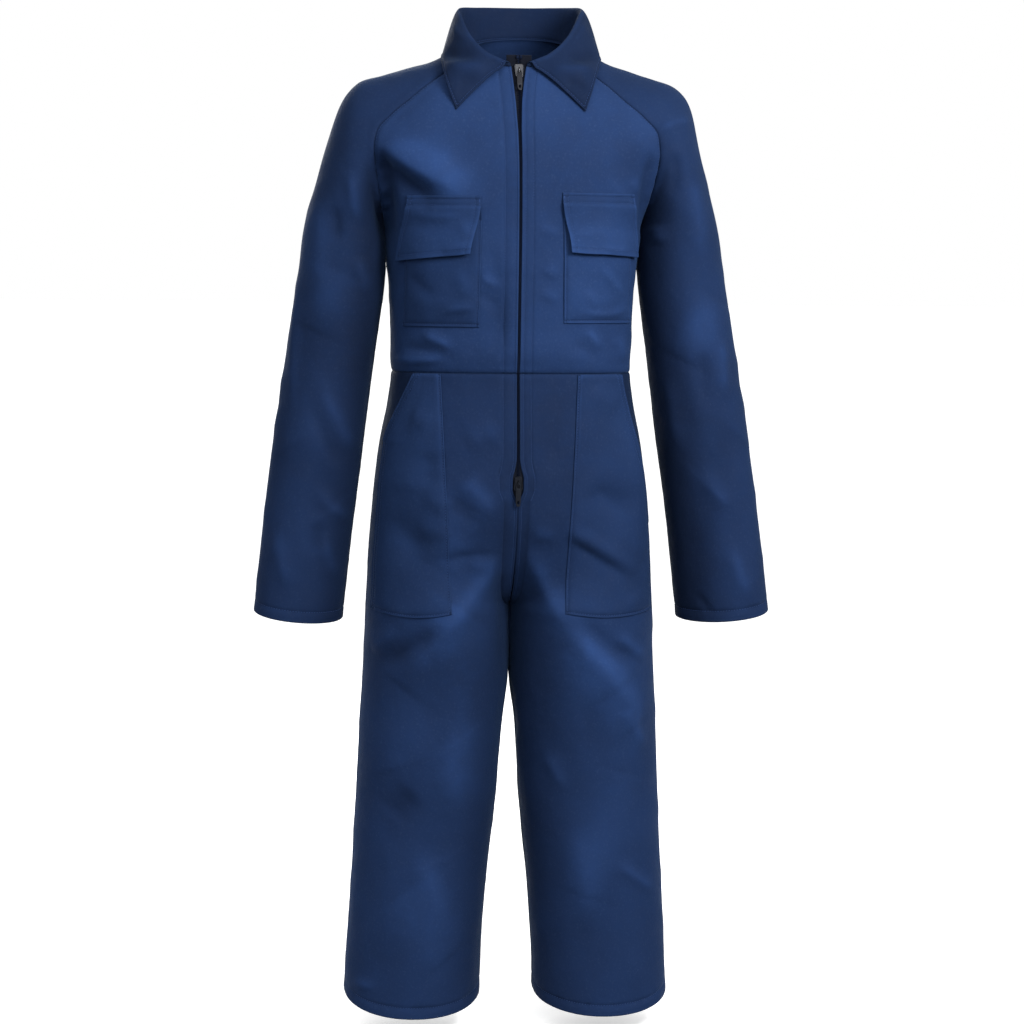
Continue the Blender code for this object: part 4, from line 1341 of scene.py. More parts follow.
def cast(tree: BVHTree, x: np.ndarray, z: np.ndarray) -> np.ndarray:
    """Find the places on a panel that show at points of the front view.

    Args:
        tree: The panel's search tree.
        x: Places across the view.
        z: Heights.

    Returns:
        A place on the panel for each.
    """
    found = np.empty(x.shape + (3,))
    ahead = Vector((0, 1, 0))
    for place in np.ndindex(x.shape):
        start = Vector((x[place], IN_FRONT_Y, z[place]))
        hit = tree.ray_cast(start, ahead)[0]
        found[place] = hit or tree.find_nearest(Vector((x[place], -40.0, z[place])))[0]
    return found


def held_off(tree: BVHTree, points: np.ndarray, lift: float) -> np.ndarray:
    """Push points out where they would lie too close to the panels.

    Args:
        tree: The panels' search tree.
        points: The points.
        lift: How far off they stay.

    Returns:
        The moved points.
    """
    moved = points.copy()
    for place in np.ndindex(points.shape[:2]):
        point = Vector(moved[place])
        for _ in range(3):
            near, outward, _, _ = tree.find_nearest(point)
            short = lift - (point - near).dot(outward)
            if short <= 0:
                break
            point += outward * short
        moved[place] = point
    return moved


def smoothed(values: np.ndarray, rounds: int) -> np.ndarray:
    """Even out a grid of numbers with its neighbours.

    Args:
        values: The grid.
        rounds: How often.

    Returns:
        The softer grid.
    """
    for _ in range(rounds):
        wide = np.pad(values, ((1, 1), (1, 1)) + ((0, 0),) * (values.ndim - 2), mode="edge")
        values = (
            wide[:-2, 1:-1] + wide[2:, 1:-1] + wide[1:-1, :-2] + wide[1:-1, 2:] + 4 * wide[1:-1, 1:-1]
        ) / 8
    return values


class Nodes:
    """A short hand for the nodes of one material, or of the world."""

    def __init__(self, owner: Material | bpy.types.World) -> None:
        """Start with the owner's own nodes."""
        owner.use_nodes = True
        self.owner, self.tree = owner, owner.node_tree

    def add(self, kind: str, inputs: dict[str | int, object] | None = None, **settings: object) -> Node:
        """Add a node.

        Args:
            kind: Its Blender name without the ShaderNode in front.
            inputs: Values or sockets for its inputs.
            settings: Its own settings.

        Returns:
            The node.
        """
        node = self.tree.nodes.new("ShaderNode" + kind)
        for word, value in settings.items():
            setattr(node, word, value)
        self.feed(node, inputs or {})
        return node

    def feed(self, node: Node, inputs: dict[str | int, object]) -> None:
        """Set or link some inputs of a node.

        Args:
            node: The node.
            inputs: Values or sockets by the input's name or number.
        """
        for key, value in inputs.items():
            if isinstance(value, Socket):
                self.tree.links.new(value, node.inputs[key])
            else:
                node.inputs[key].default_value = value

    def shade(self, inputs: dict[str | int, object]) -> Material:
        """Feed the material's shader and hand the material over."""
        self.feed(self.tree.nodes["Principled BSDF"], inputs)
        return self.owner

    def place(self) -> Socket:
        """The place on the object that is shaded."""
        return self.add("TexCoord").outputs["Object"]

    def stored(self, word: str, kind: str) -> Socket:
        """A number or a colour that is stored on the mesh."""
        return self.add("Attribute", attribute_name=word).outputs[kind]

    def stretched(self, place: Socket, scale: tuple[float, float, float]) -> Socket:
        """A place scaled apart in each direction."""
        return self.add("Mapping", {"Vector": place, "Scale": scale}).outputs[0]

    def turned(self, place: Socket, angles: tuple[float, float, float]) -> Socket:
        """A place turned about the three axes."""
        return self.add("Mapping", {"Vector": place, "Rotation": angles}).outputs[0]

    def noise(self, place: Socket, scale: float, detail: float, rough: float = 0.5) -> Socket:
        """Soft noise at a place."""
        inputs = {"Vector": place, "Scale": scale, "Detail": detail, "Roughness": rough}
        return self.add("TexNoise", inputs).outputs[0]

    def waves(self, place: Socket, scale: float, bent: float, along: str = "X") -> Socket:
        """Even ribs, bent a little."""
        inputs = {"Vector": place, "Scale": scale, "Distortion": bent}
        return self.add("TexWave", inputs, bands_direction=along).outputs[1]

    def bumped(self, height: Socket, strength: float, distance: float) -> Node:
        """Relief from a pattern, its distance in metres."""
        return self.add("Bump", {"Height": height, "Strength": strength, "Distance": distance})

    def mixed(self, share: object, first: object, second: object, kind: str = "MIX") -> Socket:
        """Mix two colours.

        Args:
            share: How much of the second colour there is.
            first: The first colour.
            second: The second colour.
            kind: How they are mixed, in Blender's word.

        Returns:
            The mixed colour.
        """
        node = self.add("Mix", {}, data_type="RGBA", blend_type=kind)
        self.feed(node, {0: share, 6: first, 7: second})
        return node.outputs[2]

    def ranged(self, value: object, low: float, high: float, to_low: float, to_high: float) -> Socket:
        """Map a number from one range to another."""
        return self.add("MapRange", {0: value, 1: low, 2: high, 3: to_low, 4: to_high}).outputs[0]

    def summed(self, first: object, second: object) -> Socket:
        """The sum of two numbers."""
        return self.add("Math", {0: first, 1: second}, operation="ADD").outputs[0]

    def times(self, first: object, second: object) -> Socket:
        """The product of two numbers."""
        return self.add("Math", {0: first, 1: second}, operation="MULTIPLY").outputs[0]


def shaded(colour: Colour, by: float) -> tuple[float, float, float, float]:
    """A colour made lighter or darker, with its alpha."""
    return (*(min(part * by, 1) for part in colour), 1.0)


def wave_scale(rib: float) -> float:
    """The wave texture's scale for ribs of a width in metres."""
    return 2 * np.pi / (20 * rib)


@dataclass(frozen=True)
class TwillFinish:
    """Matt cotton twill with a fine diagonal rib, slubs and soft colour changes, lightened at worn edges and
    by painted highlights, darkened by painted shade in the grooves, and multiplied by each point's painted
    light and shade.
    """

    name: str
    colour: Colour
    rib: float = 0.00085
    rib_angle: float = 1.06
    cross_angle: float = -0.42
    roughness: float = 0.8
    sheen: float = 0.05
    sheen_tint: Colour = (0.3, 0.55, 1.0)
    rubbed: float = 0.9
    mottle: float = 0.2
    dust: Colour = (0.05, 0.085, 0.17)

    def build(self) -> Material:
        """Make the material.

        Returns:
            The material.
        """
        nodes = Nodes(bpy.data.materials.new(self.name))
        cloth = nodes.add("UVMap", uv_map="cloth").outputs[0]
        place = nodes.place()
        scale = wave_scale(self.rib)
        rib = nodes.waves(nodes.turned(cloth, (0, 0, self.rib_angle)), scale, 0.35)
        nodes.feed(rib.node, {"Detail Scale": 2.0})
        cross = nodes.waves(nodes.turned(cloth, (0, 0, self.cross_angle)), scale * 1.45, 0.3)
        warp = nodes.noise(nodes.stretched(cloth, (2600.0, 130.0, 1.0)), 1.0, 1.0)
        weft = nodes.noise(nodes.stretched(cloth, (150.0, 2300.0, 1.0)), 1.0, 1.0)
        broad = nodes.noise(place, 7.0, 2.0, 0.55)
        patchy = nodes.noise(place, 46.0, 3.0, 0.6)
        speck = nodes.noise(place, 420.0, 2.0, 0.6)
        tone = nodes.ranged(broad, 0.3, 0.7, 0.0, 1.0)
        colour = nodes.mixed(tone, shaded(self.colour, 1 - self.mottle), shaded(self.colour, 1 + self.mottle))
        # Each pattern, its range, and the share and the shade of the colour that it brings.
        for pattern, low, high, most, shade in (
            (patchy, 0.42, 0.72, 0.28, 1.32),
            (warp, 0.55, 0.8, 0.3, 1.45),
            (weft, 0.55, 0.8, 0.22, 0.72),
            (rib, 0.2, 0.9, 0.24, 1.38),
        ):
            share = nodes.ranged(pattern, low, high, 0.0, most)
            colour = nodes.mixed(share, colour, shaded(self.colour, shade))
        colour = nodes.mixed(nodes.ranged(speck, 0.55, 0.75, 0.0, 0.12), colour, shaded(self.dust, 1))
        # Lighter at worn edges, and where highlights are painted on crease ridges, beside stitches and along
        # the collar roll.
        rubbed = nodes.times(nodes.ranged(nodes.stored("wear", "Fac"), 0.15, 1.0, 0.0, self.rubbed), patchy)
        colour = nodes.mixed(rubbed, colour, shaded(self.colour, 2.1))
        # Painted shade in the seam and stitch grooves and at fold edges.
        groove_shade_share = nodes.ranged(nodes.stored("groove", "Fac"), 0.05, 0.8, 0.0, 0.55)
        colour = nodes.mixed(groove_shade_share, colour, shaded(self.colour, 0.4))
        # Painted light and shade stored on each point: per piece, on crease ridges and troughs, on sides that
        # face the body, over the upper trousers and beside the hip pocket openings.
        colour = nodes.mixed(1.0, colour, nodes.stored("shade", "Color"), "MULTIPLY")
        rough = nodes.ranged(patchy, 0.3, 0.7, self.roughness - 0.07, self.roughness + 0.08)
        weave = nodes.summed(nodes.times(rib, 0.6), nodes.times(cross, 0.3))
        weave = nodes.summed(weave, nodes.times(warp, 0.5))
        fine = nodes.bumped(weave, 0.55, 0.00016)
        soft = nodes.bumped(nodes.noise(place, 95.0, 2.0), 0.28, 0.0016)
        nodes.feed(soft, {"Normal": fine.outputs[0]})
        sheen = {"Sheen Weight": self.sheen, "Sheen Roughness": 0.4, "Sheen Tint": (*self.sheen_tint, 1)}
        surface = {"Roughness": rough, "Normal": soft.outputs[0], "Specular IOR Level": 0.07}
        return nodes.shade({"Base Color": colour, **surface, **sheen})


@dataclass(frozen=True)
class ThreadFinish:
    """Twisted sewing thread with a little gloss."""

    name: str
    colour: Colour
    twist: float = 900.0

    def build(self) -> Material:
        """Make the material.

        Returns:
            The material.
        """
        nodes = Nodes(bpy.data.materials.new(self.name))
        place = nodes.place()
        twist = nodes.waves(nodes.turned(place, (0.5, 0.6, 0.4)), self.twist, 1.0)
        colour = nodes.mixed(twist, shaded(self.colour, 0.75), shaded(self.colour, 1.25))
        faded = nodes.ranged(nodes.noise(place, 60.0, 1.0), 0.3, 0.7, 0.0, 0.4)
        colour = nodes.mixed(faded, colour, shaded(self.colour, 0.8))
        bump = nodes.bumped(twist, 0.4, 0.00006).outputs[0]
        soft = {"Roughness": 0.55, "Sheen Weight": 0.02, "Specular IOR Level": 0.15}
        return nodes.shade({"Base Color": colour, "Normal": bump, **soft})


@dataclass(frozen=True)
class TapeFinish:
    """Close woven zip tape with ribs along it."""

    name: str
    colour: Colour
    rib: float = 0.0011

    def build(self) -> Material:
        """Make the material.

        Returns:
            The material.
        """
        nodes = Nodes(bpy.data.materials.new(self.name))
        cloth, scale = nodes.add("UVMap", uv_map="cloth").outputs[0], wave_scale(self.rib)
        weave = nodes.times(nodes.waves(cloth, scale, 0.2), nodes.waves(cloth, scale * 1.8, 0.2, "Y"))
        colour = nodes.mixed(weave, shaded(self.colour, 0.7), shaded(self.colour, 1.9))
        bump = nodes.bumped(weave, 0.7, 0.0002).outputs[0]
        soft = {"Roughness": 0.74, "Sheen Weight": 0.03, "Specular IOR Level": 0.1}
        return nodes.shade({"Base Color": colour, "Normal": bump, **soft})


@dataclass(frozen=True)
class MetalFinish:
    """Plated zinc with fine scratches and duller, cloudy patches."""

    name: str
    colour: Colour
    roughness: float
    scratches: float = 0.12

    def build(self) -> Material:
        """Make the material.

        Returns:
            The material.
        """
        nodes = Nodes(bpy.data.materials.new(self.name))
        place = nodes.place()
        cloudy = nodes.noise(place, 900.0, 3.0, 0.6)
        scratch = nodes.noise(nodes.stretched(place, (9000.0, 9000.0, 700.0)), 1.0, 2.0)
        colour = nodes.mixed(cloudy, shaded(self.colour, 0.72), shaded(self.colour, 1.18))
        smooth, dull = self.roughness - self.scratches / 2, self.roughness + self.scratches
        rough = nodes.ranged(cloudy, 0.3, 0.7, smooth, dull)
        bump = nodes.bumped(scratch, 0.25, 0.00004).outputs[0]
        return nodes.shade({"Base Color": colour, "Roughness": rough, "Metallic": 1.0, "Normal": bump})


@dataclass(frozen=True)
class FloorFinish:
    """Plain pale studio floor, lit a little from within as a light table is."""

    name: str
    colour: Colour
    glow: float = 0.4

    def build(self) -> Material:
        """Make the material.

        Returns:
            The material.
        """
        nodes = Nodes(bpy.data.materials.new(self.name))
        cloudy = nodes.noise(nodes.place(), 3.0, 3.0)
        colour = nodes.mixed(cloudy, shaded(self.colour, 0.985), shaded(self.colour, 1.01))
        surface = {"Base Color": colour, "Roughness": 0.85, "Specular IOR Level": 0.1}
        return nodes.shade({**surface, "Emission Color": WHITE, "Emission Strength": self.glow})


@dataclass(frozen=True)
class Finishes:
    """Every finish of the suit, made once."""

    navy: Material
    pocket: Material
    thread: Material
    tape: Material
    nickel: Material
    dark_nickel: Material
    black_nickel: Material
    teeth: Material

    @classmethod
    def built(cls) -> "Finishes":
        """Make them all."""
        return cls(
            navy=TwillFinish("navy_twill", (0.0085, 0.0215, 0.0665)).build(),
            pocket=TwillFinish("navy_twill_pocket", (0.0085, 0.0217, 0.067)).build(),
            thread=ThreadFinish("navy_thread", (0.019, 0.05, 0.16)).build(),
            tape=TapeFinish("zip_tape", (0.0025, 0.004, 0.0095)).build(),
            nickel=MetalFinish("zip_slider_metal", (0.11, 0.113, 0.125), 0.2).build(),
            dark_nickel=MetalFinish("zip_pull_metal", (0.034, 0.035, 0.041), 0.32).build(),
            black_nickel=MetalFinish("zip_low_metal", (0.012, 0.0135, 0.018), 0.42).build(),
            teeth=MetalFinish("zip_teeth_metal", (0.0045, 0.007, 0.0165), 0.5).build(),
        )


SEAM = Edge(EdgeKind.SEAM)
SEWN_SEAM = Edge(EdgeKind.SEAM, stitches=(2.0,))
ZIP_EDGES = {
    Side.RIGHT: Edge(EdgeKind.ZIP, (3.4, 15.5)),
    Side.LEFT: Edge(EdgeKind.ZIP, (4.4, 13.0)),
}


def close_steps(ends: Sequence[float], counts: Sequence[int]) -> tuple[np.ndarray, Sequence[int]]:
    """Choose close steps in two runs with a break between them.

    Args:
        ends: Where the first run starts, where the runs meet and where the second ends.
        counts: How many steps each run has, the one at the break in both.

    Returns:
        The steps, and the rows of the ends and the break.
    """
    steps = np.concatenate([np.linspace(*ends[:2], counts[0]), np.linspace(*ends[1:], counts[1])[1:]])
    return steps, (0, counts[0] - 1, len(steps) - 1)


def opened(dense: np.ndarray, across: np.ndarray, side: Side) -> np.ndarray:
    """Move the front edge of a front panel back from the zip."""
    dense[..., 0] += side * (1 - across) ** 2 * zip_gap(dense[:, :1, 2])
    return dense


def over_tape(panel: Panel, lift: np.ndarray) -> np.ndarray:
    """Keep a front panel's hollows off the zip tape behind it.

    Args:
        panel: The front panel, with the zip on its left edge.
        lift: Height of the creases.

    Returns:
        The height, with shallow hollows beside the zip.
    """
    beside = ease(panel.distances()["left"], TAPE_WIDTH - 1, TAPE_WIDTH + 12)
    beyond = ease(-panel.points[..., 2], -TAPE_LOW_Z, 20 - TAPE_LOW_Z)
    return np.maximum(lift, -0.7 - 20 * np.maximum(beside, beyond))


def panel_fade(away: Distances) -> np.ndarray:
    """How much of the source's large folds a panel keeps near its seams."""
    return ease(nearest(away, UPRIGHT), 0, 42) * ease(nearest(away, LEVEL), 0, 60)


def seam_fade(away: Distances) -> np.ndarray:
    """How much of the creases carries on across the seams."""
    return 0.5 + 0.5 * ease(nearest(away), 0, 14)


def match_seams(panels: Sequence[Panel], within: float = 2.2, blend: float = 9.0) -> None:
    """Let panels that meet at a seam face the same way there, so that the seam stays closed.

    Args:
        panels: The laid panels.
        within: How near an edge point of another panel counts as its neighbour.
        blend: How far from the seam the change reaches.
    """
    cuts = dict(zip(EDGES, (np.s_[:, 0], np.s_[:, -1], np.s_[0], np.s_[-1])))
    every = [(panel.points[cut], panel.outward[cut]) for panel in panels for cut in cuts.values()]
    points, facing = (np.concatenate(part) for part in zip(*every))
    tree = KDTree(len(points))
    for index, point in enumerate(points):
        tree.insert(point, index)
    tree.balance()
    near = ([index for _, index, _ in tree.find_range(point, within)] for point in points)
    matched = np.array([facing[others].mean(axis=0) for others in near])
    agreed = np.linalg.norm(matched, axis=1, keepdims=True)
    change = np.where(agreed > 0.4, matched / agreed - facing, 0)
    change = np.concatenate([change, ease(agreed, 0.35, 0.8) - 1], axis=1)
    start = 0
    for panel in panels:
        away = panel.distances()
        shape = panel.points.shape[:2]
        total, weights = np.zeros(shape + (4,)), np.zeros(shape)
        for word in EDGES:
            count = shape[int(word in LEVEL)]
            part = change[start : start + count]
            start += count
            weight = np.exp(-((away[word] / blend) ** 2))
            total += weight[..., None] * (part[:, None] if word in UPRIGHT else part[None])
            weights += weight
        total /= np.maximum(weights, 1)[..., None]
        panel.calm = 1 + total[..., 3]
        panel.outward = unit(panel.outward + total[..., :3])


@dataclass
class Hung(ABC):
    """Panels of navy cloth that hang together, laid first and creased after their seams match."""

    finishes: Finishes
    stitches: str = ""
    panels: dict[str, Panel] = field(default_factory=dict)

    @abstractmethod
    def crease(self, panel: Panel) -> None:
        """Give one panel its creases and the finish of its edges."""

    def creases(self, panel: Panel, side_creases: Table, flank: np.ndarray | float = 1.0) -> np.ndarray:
        """Work out the height of one panel's folds and creases.

        Args:
            panel: The laid panel.
            side_creases: The creases that show from the side.
            flank: How much of those is kept.

        Returns:
            A height for each point.
        """
        away = panel.distances()
        lift = self.folds(panel) * panel_fade(away)
        return lift + cloth_lift(panel.points, panel.outward, side_creases, flank) * seam_fade(away)

    def folds(self, panel: Panel) -> np.ndarray:
        """Height of the large folds of one panel."""
        return fold_lift(panel.points, BACK_FOLDS if panel.back else FRONT_FOLDS)

    def hangs_from(self, panel: Panel) -> str:
        """Name the piece that a panel hangs from."""
        return "cloth_collar"

    def sew(self, panel: Panel, sewing: Sewing) -> None:
        """Sew one panel's rows of stitches."""
        panel.sew(sewing)

    def build(self) -> None:
        """Crease and make the panels and their stitches."""
        sewing = Sewing(self.stitches, self.finishes.thread)
        for panel in self.panels.values():
            self.crease(panel)
            panel.build(self.finishes.navy, "navy_twill", "hung", (self.hangs_from(panel),))
            self.sew(panel, sewing)
        sewing.build()


@dataclass
class Bodice(Hung):
    """Two front panels and the back, from the waist to the neck."""

    stitches: str = "stitches_bodice"
    # Painted light: the fronts are made lighter than the other pieces.
    front_shade: float = 1.19

    def lay_front(self, side: Side) -> Panel:
        """Lay one front panel.

        Args:
            side: The wearer's side.

        Returns:
            The panel.
        """
        steps, breaks = close_steps((0, 1, 2), (81, 111))
        across = np.linspace(0, 1, 101)
        dense = opened(bodice_surface(*np.meshgrid(across, steps), side=side), across, side)
        edges = edged(ZIP_EDGES[side], SEWN_SEAM, SEAM, SEAM)
        panel = Panel(f"cloth_front_{side.word}", edges, side, 11 + side, shade=self.front_shade)
        panel.lay(dense, breaks)
        return panel

    def lay_back(self) -> Panel:
        """Lay the back, cut in one piece.

        Returns:
            The panel.
        """
        steps, breaks = close_steps((0, 1, 2), (81, 111))
        across = np.linspace(-1, 1, 201)
        dense = bodice_surface(*np.meshgrid(np.abs(across), steps), back=True)
        dense[..., 0] *= np.where(across < 0, -1, 1)
        panel = Panel("cloth_back", edged(SEWN_SEAM, SEWN_SEAM, SEAM, SEAM), -1, 14, back=True)
        panel.lay(dense, breaks)
        return panel

    def lay(self) -> list[Panel]:
        """Lay the three panels.

        Returns:
            The panels.
        """
        self.panels = {f"front_{side.word}": self.lay_front(side) for side in Side}
        self.panels["back"] = self.lay_back()
        return list(self.panels.values())

    def crease(self, panel: Panel) -> None:
        """Give one panel its creases and its seams."""
        lift = self.creases(panel, TRUNK_SIDE_CREASES)
        panel.relieve(lift if panel.back else over_tape(panel, lift), 1.0)


@dataclass
class Sleeves(Hung):
    """Two raglan sleeves, each cut in one piece with an underarm seam and a hemmed cuff."""

    stitches: str = "stitches_sleeves"
    cuff_hem: float = 11.5
    # Painted shade: the sleeves are made darker, and more so on the side that faces the body.
    shade: float = 0.79
    inner_dark: float = 0.5

    def lay_one(self, side: Side) -> Panel:
        """Lay one sleeve.

        Args:
            side: The wearer's side.

        Returns:
            The panel.
        """
        steps, breaks = close_steps((0, 1, 2), (111, 181))
        dense = sleeve_surface(*np.meshgrid(np.linspace(0, 1, 201), steps), side=side)
        edges = edged(SEAM, SEAM, SEAM, Edge(EdgeKind.HEM, (self.cuff_hem,)))
        panel = Panel(f"cloth_sleeve_{side.word}", edges, -side, 21 + side, hem=self.cuff_hem + HEM_OVER)
        panel.shade, panel.inner_dark = self.shade, self.inner_dark
        panel.lay(dense, breaks)
        underarm = dense[breaks[1], 0]
        panel.tube_row = int(np.argmin(np.linalg.norm(panel.points[:, 0] - underarm, axis=-1)))
        return panel

    def lay(self) -> list[Panel]:
        """Lay both sleeves.

        Returns:
            The sleeves.
        """
        self.panels = {side.word: self.lay_one(side) for side in Side}
        return list(self.panels.values())

    def folds(self, panel: Panel) -> np.ndarray:
        """Work out the height of the large folds all round one sleeve.

        Args:
            panel: The sleeve.

        Returns:
            A height for each point.
        """
        facing = panel.outward[..., 1]
        front = fold_lift(panel.points, FRONT_FOLDS) * ease(-facing, -0.2, 0.5)
        return front + fold_lift(panel.points, BACK_FOLDS) * ease(facing, -0.2, 0.5)

    def crease(self, panel: Panel) -> None:
        """Give one sleeve its creases, its seams and its hem.

        Args:
            panel: The sleeve.
        """
        flank = ease(nearest(panel.distances(), UPRIGHT), 0, 16)
        panel.relieve(self.creases(panel, SLEEVE_SIDE_CREASES, flank))
        panel.turn_up()

    def sew(self, panel: Panel, sewing: Sewing) -> None:
        """Sew the cuff."""
        panel.sew(sewing, ("last",))


@dataclass
class Trousers(Hung):
    """Two front and two back leg panels, from the waist to the hems."""

    stitches: str = "stitches_trousers"
    leg_hem: float = 12.0
    # Painted shade: how much darker the inner sides, the upper hips and the strip outside each pocket opening
    # are made.
    inner_dark: float = 0.34
    hip_dark: float = 0.23
    opening_dark: float = 0.42
    placket_low: float = -488.0

    def lay_one(self, side: Side, back: bool) -> Panel:
        """Lay one leg panel.

        Args:
            side: The wearer's side.
            back: Whether it is a back panel.

        Returns:
            The panel.
        """
        steps, breaks = close_steps((0, 0.46, 1), (131, 151))
        across = np.linspace(0, 1, 141)
        dense = trouser_surface(*np.meshgrid(across, steps), side=side, back=back)
        if not back:
            dense = opened(dense, across, side)
        name = f"cloth_leg_{'back' if back else 'front'}_{side.word}"
        edges = edged(SEWN_SEAM if back else ZIP_EDGES[side], SEAM, SEAM, Edge(EdgeKind.HEM, (self.leg_hem,)))
        panel = Panel(name, edges, side if back else -side, 31 + side + 4 * back, back=back)
        panel.hem, panel.inner_dark = self.leg_hem + HEM_OVER, self.inner_dark
        panel.lay(dense, breaks)
        return panel

    def lay(self) -> list[Panel]:
        """Lay the four panels.

        Returns:
            The panels.
        """
        laid = [self.lay_one(side, back) for side in Side for back in (False, True)]
        self.panels = {panel.name.removeprefix("cloth_"): panel for panel in laid}
        return laid

    def crease(self, panel: Panel) -> None:
        """Give one leg panel its creases, its seams, painted shade over its upper hip and beside its pocket
        opening, and its hem.

        Args:
            panel: The leg panel.
        """
        lift = self.creases(panel, TRUNK_SIDE_CREASES)
        x, z = panel.points[..., 0], panel.points[..., 2]
        parted = 0.0 if panel.back else np.clip(zip_gap(z[:, 0]) / 1.5, 0, 1)
        panel.relieve(lift if panel.back else over_tape(panel, lift), parted)
        # Painted shade: darker towards the waist.
        panel.tone *= 1 - self.hip_dark * ease(z, -600.0, -470.0)
        if not panel.back:
            side = Side.LEFT if x.mean() > 0 else Side.RIGHT
            # Painted shadow in the strip between the hip pocket's opening and the side seam, above the
            # opening's end.
            below = ease(np.abs(x) - opening_edge(side, z), -2.0, 1.0) * (z > HIP_POCKET["opening_low"][side])
            panel.tone *= 1 - self.opening_dark * below
        panel.turn_up()

    def hangs_from(self, panel: Panel) -> str:
        """Name the bodice panel above."""
        return "cloth_back" if panel.back else panel.name.replace("leg_front", "front")

    def sew(self, panel: Panel, sewing: Sewing) -> None:
        """Sew the hem, and the rows beside the zip and down the rise, which end at the crotch.

        Args:
            panel: The leg panel.
            sewing: Where the stitches are gathered.
        """
        panel.sew(sewing, ("last",))
        for number, distance in enumerate(panel.edges["left"].stitches):
            path, outward = panel.line("left", distance)
            kept = path[:, 2] > (CROTCH_Z if panel.back or number == 0 else self.placket_low)
            sewing.row(path[kept], outward[kept])


def neck_seam(station: np.ndarray) -> np.ndarray:
    """Find points of the neck edge.

    Args:
        station: 0 at the zip, over the sleeve, to 1 at the middle of the back.

    Returns:
        A place for each station.
    """
    t = np.linspace(0, 1, 40)
    top = np.full(40, 2.0)
    front = bodice_surface(t, top)
    front[:, 0] += (1 - t) ** 2 * zip_gap(front[:, 2])
    line = np.concatenate([front, sleeve_surface(t, 2 - top), bodice_surface(t[::-1], top, back=True)])
    length = running(line)
    return np.stack([np.interp(station * length[-1], length, line[:, i]) for i in range(3)], -1)


@dataclass
class Collar:
    """One turned-down collar with a stand and a pointed fall."""

    finishes: Finishes
    body: BVHTree
    clear: float = 2.7
    roll: float = 9.0
    rise: float = -1.2
    stitch: float = 3.2
    neck_stitch: float = 2.2
    shift: float = 2.2
    throat: float = 7.5
    lean: float = 1.6
    # Painted shade: the collar is made darker.
    shade: float = 0.5

    def surface(self) -> tuple[np.ndarray, int]:
        """Find close points of the collar, stand first and then the fall.

        Returns:
            The points, rows from the neck to the free edge, and the row of the roll line.
        """
        half = np.linspace(0, 1, 91)
        stations = np.concatenate([half, 2 - half[-2::-1]])
        mirrored = np.minimum(stations, 2 - stations)
        side = np.where(stations > 1, -1.0, 1.0)
        neck = neck_seam(mirrored)
        roll, edge = (
            np.stack([along(COLLAR, f"{line}_{axis}", mirrored) for axis in "xyz"], -1)
            for line in ("roll", "edge")
        )
        roll[:, 2] -= self.lean * (side < 0) * ease(mirrored, 0.3, 0.6) * (1 - ease(mirrored, 0.8, 1))
        up = np.linspace(0, 1, 14)[:, None, None]
        over = neck + (roll - neck) * (0, 0, 1)
        stand = neck * (1 - up) ** 2 + 2 * over * up * (1 - up) + roll * up**2
        away = unit((edge - roll) * (1, 1, 0))
        fallen = np.linspace(0, 1, 46)[1:, None, None]
        shoulder = roll + away * self.roll
        fall = roll * (1 - fallen) ** 2 + 2 * shoulder * fallen * (1 - fallen) + edge * fallen**2
        stand[..., 2] += self.rise
        for line in (stand, fall):
            line[..., 0] *= side
        fall = posed(fall)
        fall[..., 0] += self.shift * fallen[..., 0]
        front = 1 - ease(mirrored, 0, 0.3)
        fall[..., 2] -= self.throat * ease(fallen[..., 0], 0, 0.24) * (1 - fallen[..., 0]) ** 1.1 * front
        pushed = held_off(self.body, fall, self.clear) - fall
        fall = held_off(self.body, fall + smoothed(pushed, 12), self.clear)
        return np.concatenate([posed(stand), fall]), len(stand) - 1

    def build(self) -> None:
        """Make the collar and its stitches."""
        dense, roll_row = self.surface()
        end = Edge(EdgeKind.FOLD, (self.stitch,), fold_radius=1.0, pucker=0.12)
        edges = edged(end, end, Edge(EdgeKind.SEAM, (self.neck_stitch,), seam_depth=0.5), end)
        panel = Panel("cloth_collar", edges, -1, 41, spacing=2.6, thickness=COLLAR_CLOTH, shade=self.shade)
        panel.lay(dense, (0, roll_row, len(dense) - 1))
        front = ease(-panel.outward[..., 1], 0.1, 0.5)
        lift = front * crease_lift(panel.points[..., FRONT_VIEW], COLLAR_CREASES)
        lift += uneven(panel.points, COLLAR_LUMPS)
        panel.relieve(lift, on_posed=True)
        # Painted highlight along the collar's roll, where its folded edge catches the light.
        from_neck = panel.distances()["first"]
        high = np.argmax(panel.points[..., 2], axis=0)
        rolled = np.take_along_axis(from_neck, high[None], 0)
        panel.wear = np.maximum(panel.wear, 0.9 * np.exp(-(((from_neck - rolled - 2.0) / 3.0) ** 2)))
        under = ("cloth_front_right", "cloth_front_left", "cloth_back")
        panel.build(self.finishes.navy, "navy_twill", "folded", under)
        sewing = Sewing("stitches_collar", self.finishes.thread)
        panel.sew(sewing)
        sewing.build()


def sewn_height(near: np.ndarray) -> np.ndarray:
    """Height of a sewn-on piece's outer face above the panel, from its distance to a sewn edge."""
    return 1.75 + 0.6 * ease(near, 1.5, 9)


def pocket_grid(columns: int, rows: int, power: float = 1.4) -> Sequence[np.ndarray]:
    """Shares across and down a pocket, on a grid that is closer at its outer edge."""
    return np.meshgrid(1 - (1 - np.linspace(0, 1, columns)) ** power, np.linspace(0, 1, rows))


def share_between(away: Distances, first: str, last: str) -> np.ndarray:
    """Where each point lies between two edges, from 0 to 1."""
    return away[first] / (away[first] + away[last])


